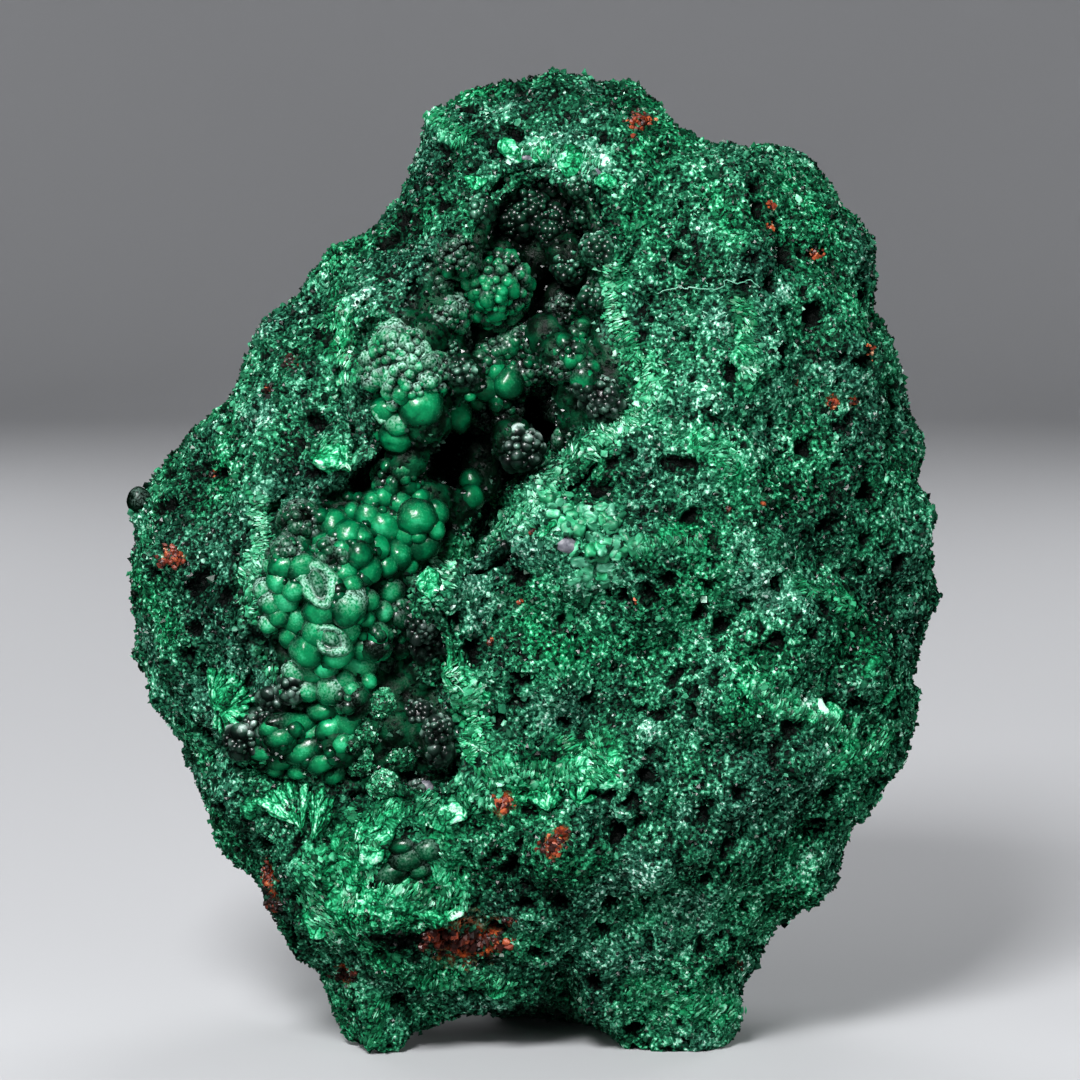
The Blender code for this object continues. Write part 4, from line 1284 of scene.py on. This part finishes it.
def crystal_lobes(rows, tree, rng, glint=0.12, spread=0.09):
    """Lobes rough with small sharp crystals, on a lumpy ball with bubbles of its own.

    A crystal is a double pyramid. Its tone is the lobe's, lighter facing up and darker in the dips
    and the hollow's depth, as painted light and shade; a share of them, the glint, are pale, as
    painted glints.
    A lobe of 2.4 mm has 600, and another has as many to its area.
    """
    parts = []
    shape = ball(3, 1)
    for centre, axis, reach, bead, tone, dust_and_highlight in lobe_places(rows, tree, 0.3):
        count = int(600 * (reach / 2.4) ** 2)
        way = spiral(count, 1.4, axis, rng, 0.05)
        near, _ = cells(centre + way * reach, 2.3 * bead, 113)
        lumpy = 0.9 + 0.16 * swell(centre + way * reach, 0.6 * reach, 79)
        lumpy = lumpy + 0.75 * bead / reach * (np.sqrt(1 - np.clip(near / 0.8, 0, 1) ** 2) - 0.5)
        sizes = rng.uniform(0.18, 0.32, (count, 1)) * rng.uniform(0.7, 1.3, (count, 3))
        spots = centre + way * (reach * lumpy)[:, None]
        frames = stray_frames(way, 0.8, rng)
        points, faces = strewn(shape, spots, frames, sizes, 0.25, rng)
        # Painted light and shade: lighter where a crystal faces up, darker in the dips and the hollow's
        # depth; the pale glints are painted glints.
        shade = near_share(spots) * 0.6 + 0.4
        tones = tone + 0.14 + 0.16 * way[:, 2] + rng.normal(0, spread, count)
        tones = (tones - 0.3 * smooth_step(near, 0.3, 0.8)) * shade
        tones += (rng.uniform(size=count) < glint * dust_and_highlight) * rng.uniform(0.15, 0.35, count) * shade
        tones = tones[:, None] + rng.normal(0, 0.04, (count, len(shape[0])))
        hues = 0.65 + rng.normal(0, 0.15, tones.shape)
        parts.append((points, faces, painted(tones, hues, 0.01)))
        core = np.full((1, 3), reach * 0.88)
        frames = upright_frames(axis[None], rng)
        points, faces = strewn(ball(18, 9), centre[None], frames, core, 0.0, rng)
        parts.append((points, faces, painted(np.full(len(points), 0.3), np.full(len(points), 0.8))))
    return gathered(parts)


def broken_lumps(tree, rng):
    """Broken bubbles: a pale rim round a ring-shaped dip, and a core in it, turned on an axis."""
    profile = (
        (0, 0.44), (0.2, 0.43), (0.34, 0.34), (0.44, 0.22), (0.52, 0.2), (0.62, 0.3), (0.74, 0.38),
        (0.88, 0.33), (1.0, 0.15), (1.08, -0.15), (0.9, -0.5), (0.0, -0.8),
    )  # fmt: skip
    shape = turned(profile, 28)
    at, normal, radius, stretch, turn = set_down(BROKEN_LUMPS, tree)
    axes = unit(normal * 0.5 - FORWARD)
    radius = radius * UNIT
    frames = long_frames(turned_on(axes, np.radians(turn)[:, None]), axes)
    sizes = np.stack([radius * stretch, radius / stretch, radius], 1)
    points, faces = strewn(shape, at + axes * (radius * 0.12)[:, None], frames, sizes, 0.03, rng)
    points = strayed(strayed(points, 0.6, 1.8, 83), 0.15, 0.8, 85)
    local = np.tile(shape[0], (len(at), 1))
    reach = np.hypot(local[:, 0], local[:, 1])
    ring = np.exp(-(((reach - 0.72) / 0.26) ** 2)) * (local[:, 2] > 0)
    ring = ring * smooth_step(swell(points, 1.5, 89), -0.8, 0.3)
    values = {
        "tone": 0.5 + 0.25 * ring - 0.25 * np.exp(-(((reach - 0.48) / 0.1) ** 2)),
        "dust_and_highlight": 0.9 * ring + 0.3 * (reach < 0.3),
    }
    return points, faces, values


class MakeLumps(Operator):
    """Makes the hollow's rounded lumps: smooth green ones, and the dark ones rough with crystals"""

    bl_idname = "malachite.lumps"
    bl_label = "Lumps"

    def execute(self, context):
        look = context.scene.malachite_hollow
        rng = np.random.default_rng(SEED + 1)
        tree = skin(*carriers())
        green, dark = smooth_lump_material(look.lump_roughness), druse_material()
        grainy = crystal_material("grainy_botryoidal_malachite", 0.45)
        lobes = grown_lobes(GREEN_LOBES, tree, rng)
        make_piece("bubbled_lobes", lobes, green)
        lobes = silvered(grown_lobes(BLACK_LOBES, tree, rng), rng)
        make_piece("drusy_lobes", lobes, dark, toned=True)
        lobes = crystal_lobes(GRAINY_LOBES, tree, rng)
        make_piece("grainy_lobes", lobes, grainy, toned=True, smooth=False)
        parts = [filler_bubbles(rng)]
        parts += [lumps(tree, rng, *kind) for kind in LUMP_KINDS]
        parts += [broken_lumps(tree, rng)]
        make_piece("smooth_lumps", gathered(parts), green)
        make_piece("wall_grains", wall_grains(rng), dark, toned=True, smooth=False)
        return {"FINISHED"}


def bare_wall():
    """The lining's points, normals, squares and their middles, and how much of each is seen bare."""
    lining = carriers()[1].data
    points, faces = mesh_arrays(lining)
    normals = mesh_normals(lining)
    middle = points[faces].mean(1)
    facing = normals[faces].mean(1) @ FORWARD < 0.3
    return points, normals, faces, middle, smooth_step(depth_in_hollow(middle), 0, 6) * facing


def filler_bubbles(rng, count=450):
    """Small bubbles between the larger lumps, over the parts of the wall with smooth lumps."""
    points, normals, faces, middle, inside = bare_wall()
    weight = inside * (inside > 0.3) * np.clip(zone_share(middle, SMOOTH_ZONES) - 0.15, 0, 1)
    at, normal, _ = sown(points, normals, faces, weight, count, rng)
    sizes = np.clip(rng.lognormal(-0.1, 0.3, (count, 1)), 0.5, 1.6) * rng.uniform(0.9, 1.1, (count, 3))
    frames = upright_frames(normal, rng)
    tones = 0.42 + rng.normal(0, 0.06, count)
    centres = at - normal * sizes[:, :1] * 0.3
    return swollen(centres, frames, sizes, ball(8, 3), tones, np.zeros(count), rng)


def wall_grains(rng, count=7000):
    """Small dark crystals over the hollow's bare wall, thin where its lumps are smooth."""
    points, normals, faces, middle, inside = bare_wall()
    bare = np.clip(1 - zone_share(middle, SMOOTH_ZONES), 0.03, 1)
    at, normal, _ = sown(points, normals, faces, inside * bare, count, rng)
    shape = ball(3, 1)
    sizes = rng.uniform(0.2, 0.45, (count, 1)) * rng.uniform(0.7, 1.3, (count, 3))
    frames = stray_frames(normal, 1.0, rng)
    points, faces = strewn(shape, at + normal * sizes[:, :1] * 0.4, frames, sizes, 0.28, rng)
    near = near_share(at)
    # Painted shade: the crystals darken into the hollow's depth; the few pale ones are painted glints,
    # which fade there too.
    tones = (0.34 + 0.16 * swell(at, 4, 117) + rng.normal(0, 0.12, count)) * (0.35 + 0.65 * near)
    tones += (rng.uniform(size=count) < 0.05) * rng.uniform(0.15, 0.4, count) * near
    tones = tones[:, None] + rng.normal(0, 0.06, (count, len(shape[0])))
    hues = 0.45 + 0.5 * swell(at, 5, 119)[:, None] + rng.normal(0, 0.1, tones.shape)
    return points, faces, painted(tones, hues, 0.01)


# ---- Broken edges, stains and small finds ---------------------------------------------------
def band_places(row, tree, rng, crowd):
    """Places strewn over a band, with normals and the way that its fibres point."""
    half, turn, _, _, *line = row
    path = dense(line, 2.0)
    way = unit(np.gradient(path, axis=0))
    count = int(len(path) * half * crowd)
    pick = rng.integers(len(path), size=count)
    side = np.stack([-way[:, 1], way[:, 0]], 1)[pick]
    across = rng.normal(0, 0.5, (count, 1)) * half
    at, normal, hit = cast(tree, path[pick] + side * across + rng.normal(0, 1.5, (count, 2)))
    at, normal, pick = at[hit], normal[hit], pick[hit]
    angle = np.arctan2(-way[pick, 1], way[pick, 0]) + math.radians(turn) + 0.7 * swell(at, 2.6, 101)
    angle = (angle + rng.normal(0, 0.15, len(at)))[:, None]
    return at, normal, turned_on(normal, angle)


def fibres(tree, rng):
    """Tufts of short stout fibres along the broken edges.

    A tuft stands at random in its band and points across the band's line or along it. A fibre is a
    slim double pyramid beside the others of its tuft, its tip a little proud of the face.
    """
    shape = ball(3, 1)
    shape = (shape[0][:, [2, 0, 1]], shape[1])
    each = 5
    parts = []
    for row in FIBRE_BANDS:
        hue, tone = row[2:4]
        at, normal, along = band_places(row, tree, rng, 0.08)
        tuft_tone = tone + 0.14 * swell(at, 1.6, 103) + rng.normal(0, 0.07, len(at))
        at, normal, along, tuft_tone = (np.repeat(a, each, 0) for a in (at, normal, along, tuft_tone))
        count = len(at)
        beside = np.cross(normal, along) * rng.uniform(-0.5, 0.5, (count, 1))
        lift = normal * rng.uniform(0.1, 0.7, (count, 1))
        along = unit(along + 0.2 * normal + rng.normal(0, 0.1, along.shape))
        sizes = np.stack([rng.uniform(0.4, 0.85, count), *rng.uniform(0.13, 0.26, (2, count))], 1)
        centres = at + beside + lift
        points, faces = strewn(shape, centres, long_frames(along, normal), sizes, 0.15, rng)
        own = tuft_tone + rng.normal(0, 0.1, count)
        # Painted shade: each fibre is a little darker at its foot than at its raised tip.
        tones = own[:, None] + 0.06 * shape[0][:, 0] + rng.normal(0, 0.05, (count, len(shape[0])))
        hues = hue + 0.12 * rng.normal(size=(count, 1)) + rng.normal(0, 0.04, tones.shape)
        parts.append((points, faces, painted(tones, hues)))
    return gathered(parts)


def chips(tree, rng):
    """Blocks of broken malachite, wedged side by side along the broken edges.

    A block has round corners, knocked in and out, and is longer along the band's fibres. Its tone
    changes in patches of 1.5 and 4 mm, and falls to its foot as painted shade.
    """
    shape = block()
    parts = []
    for row in FIBRE_BANDS:
        hue, tone = row[2:4]
        at, normal, along = band_places(row, tree, rng, 0.26)
        count = len(at)
        sizes = np.clip(rng.lognormal(-1.1, 0.4, (count, 1)), 0.12, 0.7)
        sizes = sizes * rng.uniform(0.7, 1.2, (count, 3)) * (1.05, 0.9, 0.75)
        along = flat_on(along + 0.4 * unit(rng.normal(size=along.shape)), normal)
        lean = unit(normal + 0.25 * rng.normal(size=normal.shape))
        centres = at + normal * rng.uniform(-0.3, 0.5, (count, 1)) * sizes[:, 2:]
        points, faces = strewn(shape, centres, long_frames(along, lean), sizes, 0.3, rng)
        patch = 0.2 * swell(at, 1.5, 121) + 0.14 * swell(at, 4, 123)
        own = tone - 0.12 + patch + rng.normal(0, 0.08, count)
        # Painted shade: each block is lighter on top and darker at its foot.
        tones = own[:, None] + 0.16 * shape[0][:, 2] + rng.normal(0, 0.07, (count, len(shape[0])))
        hues = hue + 0.35 * swell(at, 2.0, 127)[:, None] + rng.normal(0, 0.08, tones.shape)
        parts.append((points, faces, painted(tones, hues)))
    return gathered(parts)


def blades(tree, rng):
    """Fans of wide blades that touch: each runs from the fan's foot to its own tip on the face."""
    shape = petal()
    parts = []
    for x, y, length, middle, spread, count, tone in FANS:
        angle = np.radians(middle + spread * np.linspace(-0.5, 0.5, count)) + rng.normal(0, 0.04, count)
        reach = length * rng.uniform(0.7, 1.1, count)
        tips = np.stack([x + reach * np.cos(angle), y - reach * np.sin(angle)], 1)
        ends, normal, _ = cast(tree, tips)
        foot, lean, _ = cast(tree, [(x, y)])
        out = unit(normal + lean - FORWARD)
        ends, start = ends + out * 0.5, foot + out * 0.3
        half = np.linalg.norm(ends - start, axis=1) / 2
        width = 1.1 * length * UNIT * math.radians(spread) / count * rng.uniform(0.7, 1.4, count)
        sizes = np.stack([half, width, 0.9 * width], 1)
        points, faces = strewn(shape, (start + ends) / 2, long_frames(ends - start, out), sizes, 0.06, rng)
        points = strayed(points, 0.14, 0.9, 135)
        own = tone - 0.13 + rng.normal(0, 0.07, count)
        # Painted shade: each blade is lighter along its top and darker at its sides, in the grooves
        # between blades.
        edge = 0.3 * shape[0][:, 2] - 0.2 * np.abs(shape[0][:, 1])
        grain = shape[0] * sizes[:, None] * (0.4, 2, 2) + rng.uniform(0, 90, (count, 1, 3))
        tones = own[:, None] + edge + 0.4 * swell(grain.reshape(-1, 3), 0.5, 161).reshape(count, -1)
        values = painted(tones, 0.95 + rng.normal(0, 0.1, tones.shape))
        values |= {"silk": np.full(len(points), 0.75), "rust": np.zeros(len(points))}
        parts.append((points, faces, values))
    return gathered(parts)


def silky_masses(tree, rng):
    """Smooth masses of silky malachite: blocks with round corners, bent by noise, half sunk.

    The tone is streaked by a noise of 0.45 mm that is drawn out six times along the mass, and is
    lighter on top and darker at the foot, as painted shade.
    """
    shape = block(36, 22)
    at, normal, radius, stretch, turn, tone = set_down(SILKY_LUMPS, tree)
    radius = radius * UNIT
    axes = unit(normal - 0.8 * FORWARD)
    frames = long_frames(turned_on(axes, np.radians(turn)[:, None]), axes)
    sizes = np.stack([radius * stretch, radius, radius * 0.75], 1)
    points, faces = strewn(shape, at - axes * (0.25 * radius)[:, None], frames, sizes, 0.0, rng)
    points = strayed(strayed(points, 0.9, 2.8, 143), 0.35, 1.1, 147)
    count = len(shape[0])
    local = np.einsum("nji,nkj->nki", frames, points.reshape(len(at), count, 3)).reshape(-1, 3)
    streak = swell(local / (6.0, 1.0, 1.0), 0.45, 151)
    lift = np.tile(shape[0][:, 2], len(at))
    # Painted shade: the lift makes each mass lighter on top and darker at its foot.
    tones = np.repeat(tone, count) - 0.12 + 0.26 * lift + 0.16 * streak + 0.14 * swell(points, 1.4, 153)
    hues = np.clip(0.95 + 0.3 * swell(points, 2.0, 155), 0, 1)
    silk, rust = np.full(len(points), 0.9), np.zeros(len(points))
    return points, faces, {"tone": tones, "hue": hues, "silk": silk, "rust": rust}


def cobbles(tree, rng):
    """Cracked blocks of the pale patch, spread as a sunflower's seeds over ovals, half sunk."""
    parts = []
    shape = block(9, 5)
    for x, y, wide, high, count in COBBLES:
        step = np.arange(count)
        reach = np.sqrt((step + 0.5) / count)
        turn = step * GOLDEN_ANGLE
        spots = np.stack([x + wide * reach * np.cos(turn), y + high * reach * np.sin(turn)], 1)
        at, normal, _ = cast(tree, spots + rng.normal(0, 1.5, spots.shape))
        angle = rng.uniform(-0.6, 0.6, (count, 1))
        axes = unit(normal - 0.3 * FORWARD + 0.15 * rng.normal(size=normal.shape))
        along = turned_on(axes, angle)
        sizes = np.array([1.2, 0.95, 0.6]) * rng.uniform(0.6, 1.2, (count, 3))
        points, faces = strewn(shape, at - axes * 0.15, long_frames(along, axes), sizes, 0.06, rng)
        points = strayed(points, 0.25, 0.8, 133)
        # Painted shade: each block is lighter on top and darker at its foot.
        tones = 0.5 + rng.normal(0, 0.07, (count, 1)) + 0.2 * shape[0][:, 2]
        tones = tones + rng.normal(0, 0.1, (count, len(shape[0])))
        hues = np.broadcast_to(0.5 + rng.normal(0, 0.2, (count, 1)), tones.shape)
        parts.append((points, faces, painted(np.minimum(tones, 0.95), hues)))
    return gathered(parts)


def rust_crumbs(tree, rng):
    """Crumbs of iron oxide, in a bell-shaped spread over each rusty spot."""
    shape = ball(5, 2)
    places, tones, wides = [], [], []
    for x, y, wide, high, count, tone in RUST_SPOTS:
        spread = rng.normal(0, 0.5, (count, 2)) * (wide, high)
        places.append(np.array([x, y]) + spread)
        tones.append(tone - 0.16 + rng.normal(0, 0.2, count))
        wides.append(np.full(count, 1 + 0.025 * wide))
    at, normal, hit = cast(tree, np.concatenate(places))
    tone = np.concatenate(tones)
    back = [back_spot(row, tree, rng) for row in BACK_RUST]
    at = np.concatenate([at[hit], *[found[0] for found in back]])
    normal = np.concatenate([normal[hit], *[found[1] for found in back]])
    tone = np.concatenate([tone[hit], *[np.full(len(found[0]), 0.5) for found in back]])
    wide = np.concatenate([np.concatenate(wides)[hit], np.full(len(at) - hit.sum(), 1.3)])
    count = len(at)
    sizes = wide[:, None] * np.clip(rng.lognormal(-1.35, 0.35, (count, 1)), 0.12, 0.4)
    sizes = sizes * rng.uniform(0.7, 1.3, (count, 3))
    centres = at + normal * sizes[:, :1] * rng.uniform(-0.2, 0.6, (count, 1))
    frames = upright_frames(normal, rng)
    points, faces = strewn(shape, centres, frames, sizes, 0.4, rng)
    tones = tone[:, None] + rng.normal(0, 0.1, (count, len(shape[0])))
    hues = 0.5 + rng.normal(0, 0.2, tones.shape)
    return points, faces, painted(tones, hues)


def back_spot(row, tree, rng, count=40):
    """Points and normals of a rusty spot on the back, cast forwards from behind the stone."""
    x, z, radius = row
    found = [
        tree.ray_cast(Vector((x + dx, BEHIND, z + dz)), Vector((0, -1, 0)))
        for dx, dz in rng.normal(0, radius * 0.5, (count, 2))
    ]
    found = [(place, normal) for place, normal, *_ in found if place is not None]
    return np.array([place for place, _ in found]), np.array([normal for _, normal in found])


def hair(line, tree, lift, tone, hue):
    """A thin crystal along a line of the view, lifted off the face, its radius
    times sqrt(1 - 0.9 s^4) for a place s from -1 to 1 along it.
    """
    at, normal, hit = cast(tree, dense(line, 3.0))
    at, normal = at[hit], normal[hit]
    for _ in range(3):
        at[1:-1] = (at[:-2] + 2 * at[1:-1] + at[2:]) / 4
    run = np.linspace(-1, 1, len(at))
    radii = HAIR_RADIUS * np.sqrt(1 - 0.9 * run**4)
    points, faces = swept(at + normal * lift, normal, radii, around=6)
    tones = tone + 0.1 * swell(points, 0.8, 109)
    return points, faces, {"tone": tones, "hue": np.full(len(points), hue)}


def pebbles(tree, rng):
    """Small worn grains: long balls, bent a little by noise, that lie on the crust."""
    at, normal, radius, turn, lift = set_down(PEBBLES, tree)
    axes = unit(normal - FORWARD)
    frames = long_frames(turned_on(axes, np.radians(turn)[:, None]), axes)
    sizes = np.array([1.0, 0.6, 0.5]) * radius[:, None] * UNIT
    points, faces = strewn(ball(20, 10), at + axes * lift[:, None], frames, sizes, 0, rng)
    return strayed(points, 0.12, 0.9, 165), faces, {}


def knob(tree, rng):
    """A smooth lump that stands out of the left side, with a pale painted highlight where it faces the
    light.
    """
    at, _, radius = set_down([KNOB], tree)
    radius = radius[0] * UNIT
    sizes = np.array([[1.1, 1.0, 1.2]]) * radius
    points, faces = strewn(ball(22, 12), at - RIGHT * 1.2, np.eye(3)[None], sizes, 0, rng)
    points = strayed(points, 0.15, 1.2, 137)
    # Painted highlight: the pale dust colour laid where the knob faces the light.
    lit = (points - points.mean(0)) @ (0.2, -0.8, 0.5) / radius
    dust_and_highlight = 0.16 * smooth_step(lit + 0.3 * swell(points, 0.8, 163), 0.5, 1.0)
    return points, faces, {"tone": 0.14 + 0.1 * swell(points, 1.4, 139), "dust_and_highlight": dust_and_highlight}


class MakeBreaks(Operator):
    """Makes the broken edges, the rusty spots, the worn grains and the knob"""

    bl_idname = "malachite.breaks"
    bl_label = "Broken edges"

    def execute(self, context):
        rng = np.random.default_rng(SEED + 2)
        tree = skin(*carriers())
        silky = crystal_material("fibrous_malachite", 0.42)
        crust = bpy.data.materials["granular_crust_malachite"]
        green = bpy.data.materials["smooth_botryoidal_malachite"]
        hairs = [hair(HAIR, tree, 1.0, 0.8, 0.0), hair(NEEDLE, tree, 0.7, 0.9, 0.3)]
        pieces = (
            ("broken_fibres", fibres(tree, rng), silky, True, False),
            ("broken_chips", chips(tree, rng), silky, True, False),
            ("blade_fans", blades(tree, rng), crust, False, True),
            ("silky_masses", silky_masses(tree, rng), crust, False, True),
            ("pale_cobbles", cobbles(tree, rng), silky, True, True),
            ("rust_crumbs", rust_crumbs(tree, rng), rust_material(), True, False),
            ("crystal_hairs", gathered(hairs), silky, True, True),
            ("grey_pebbles", pebbles(tree, rng), pebble_material(), False, True),
            ("side_knob", knob(tree, rng), green, False, True),
        )
        for name, shape, material, toned, smooth in pieces:
            make_piece(name, shape, material, toned, smooth)
        return {"FINISHED"}


# ---- The stage ------------------------------------------------------------------------------
# Fill lights: place and width in metres, and share of the fill light's power.
FILLS = (
    ("fill_left", (-0.7, -0.35, 0.2), 0.35, 1.0), ("fill_right", (0.65, -0.5, 0.15), 0.35, 1.5),
    ("back_left", (-0.5, 0.65, 0.35), 0.4, 1.5), ("back_right", (0.55, 0.6, 0.3), 0.4, 1.5),
    ("top", (0.1, 0.3, 0.75), 0.4, 1.0),
)  # fmt: skip
# The cove, in metres: the flat floor's radius, the bend's radius, and the height of the wall's top.
FLOOR, BEND, WALL_TOP = 1.0, 0.4, 1.8


class MakeStage(Operator):
    """Makes the pale floor and backdrop, the soft lights and the camera"""

    bl_idname = "malachite.stage"
    bl_label = "Stage"

    def execute(self, context):
        look = context.scene.malachite_stage
        make_cove(look.floor_colour)
        make_light("key", (-0.17, -0.55, 0.55), 0.2, look.key_power, seen=True)
        for name, place, width, share in FILLS:
            make_light(name, place, width, share * look.fill_power)
        world = bpy.data.worlds.new("studio")
        context.scene.world = world
        world.use_nodes = True
        world.node_tree.nodes["Background"].inputs["Color"].default_value = linear("#e6e8ea")
        world.node_tree.nodes["Background"].inputs["Strength"].default_value = 0.012
        context.scene.view_settings.view_transform = "Standard"
        camera = bpy.data.objects.new("camera", bpy.data.cameras.new("camera"))
        context.scene.collection.objects.link(camera)
        camera.data.sensor_width = SENSOR
        camera.data.lens = SENSOR * DISTANCE / (VIEW * UNIT)
        camera.data.clip_start = 0.01
        camera.location = EYE * MM
        camera.rotation_euler = (math.pi / 2 - RISE, 0.0, 0.0)
        context.scene.camera = camera
        return {"FINISHED"}


def make_cove(colour):
    """Floor and backdrop in one round sheet: a profile of floor, quarter round and wall, turned.

    A point is (r cos t, r sin t, h), so the stone has the same floor and wall on every side.
    """
    bend = np.linspace(0, math.pi / 2, 24)
    round_part = np.stack([FLOOR + BEND * np.sin(bend), BEND - BEND * np.cos(bend)], 1)
    radius, height = np.concatenate([round_part, [[FLOOR + BEND, WALL_TOP]]]).T[..., None]
    around = 96
    turn = 2 * np.pi * np.arange(around) / around
    grid = np.stack([radius * np.cos(turn), radius * np.sin(turn), height + 0 * turn], -1)
    points = np.concatenate([grid.reshape(-1, 3), [[0.0, 0.0, 0.0]]])
    faces = capped_rings(around, len(radius))[:-around]
    mesh = bpy.data.meshes.new("cove")
    mesh.from_pydata(points, [], faces)
    mesh.polygons.foreach_set("use_smooth", np.full(len(faces), True))
    material, _, shader = new_material("matt_painted_board", Roughness=0.9)
    shader.inputs["Base Color"].default_value = (*colour, 1.0)
    mesh.materials.append(material)
    made = bpy.data.objects.new("cove", mesh)
    made.visible_glossy = False
    bpy.context.scene.collection.objects.link(made)


def make_light(name, place, width, power, seen=False):
    """A square soft light that faces the middle of the stone. Only one that is seen gives glints."""
    light = bpy.data.lights.new(name, "AREA")
    light.size, light.energy = width, power
    made = bpy.data.objects.new(name, light)
    made.location = place
    made.visible_glossy = seen
    made.visible_camera = False
    made.rotation_euler = (Vector(AIM * MM) - Vector(place)).to_track_quat("-Z", "Y").to_euler()
    bpy.context.scene.collection.objects.link(made)


# ---- The add-on -----------------------------------------------------------------------------
class MalachitePanel(Panel):
    """Lists the steps and their settings"""

    bl_label = "Malachite specimen"
    bl_idname = "VIEW3D_PT_malachite"
    bl_space_type = "VIEW_3D"
    bl_region_type = "UI"
    bl_category = "Malachite"

    def draw(self, context):
        for settings in SETTINGS:
            group = getattr(context.scene, settings)
            for name in group.__annotations__:
                self.layout.prop(group, name)
        for step in STEPS:
            self.layout.operator(step.bl_idname)


SETTINGS = {
    "malachite_stone": StoneSettings,
    "malachite_hollow": HollowSettings,
    "malachite_stage": StageSettings,
}
STEPS = (MakeCrust, MakeLining, MakeGrains, MakeLumps, MakeBreaks, MakeStage)


def register():
    for made in (*SETTINGS.values(), *STEPS, MalachitePanel):
        bpy.utils.register_class(made)
    for name, made in SETTINGS.items():
        setattr(bpy.types.Scene, name, PointerProperty(type=made))


def unregister():
    for name in SETTINGS:
        delattr(bpy.types.Scene, name)
    for made in reversed((*SETTINGS.values(), *STEPS, MalachitePanel)):
        bpy.utils.unregister_class(made)


def main():
    register()
    bpy.ops.malachite.crust()
    bpy.ops.malachite.lining()
    bpy.ops.malachite.grains()
    bpy.ops.malachite.lumps()
    bpy.ops.malachite.breaks()
    bpy.ops.malachite.stage()


STONE = skin(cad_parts["granular_malachite"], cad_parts["botryoidal_lining"])

if __name__ == "__main__":
    main()
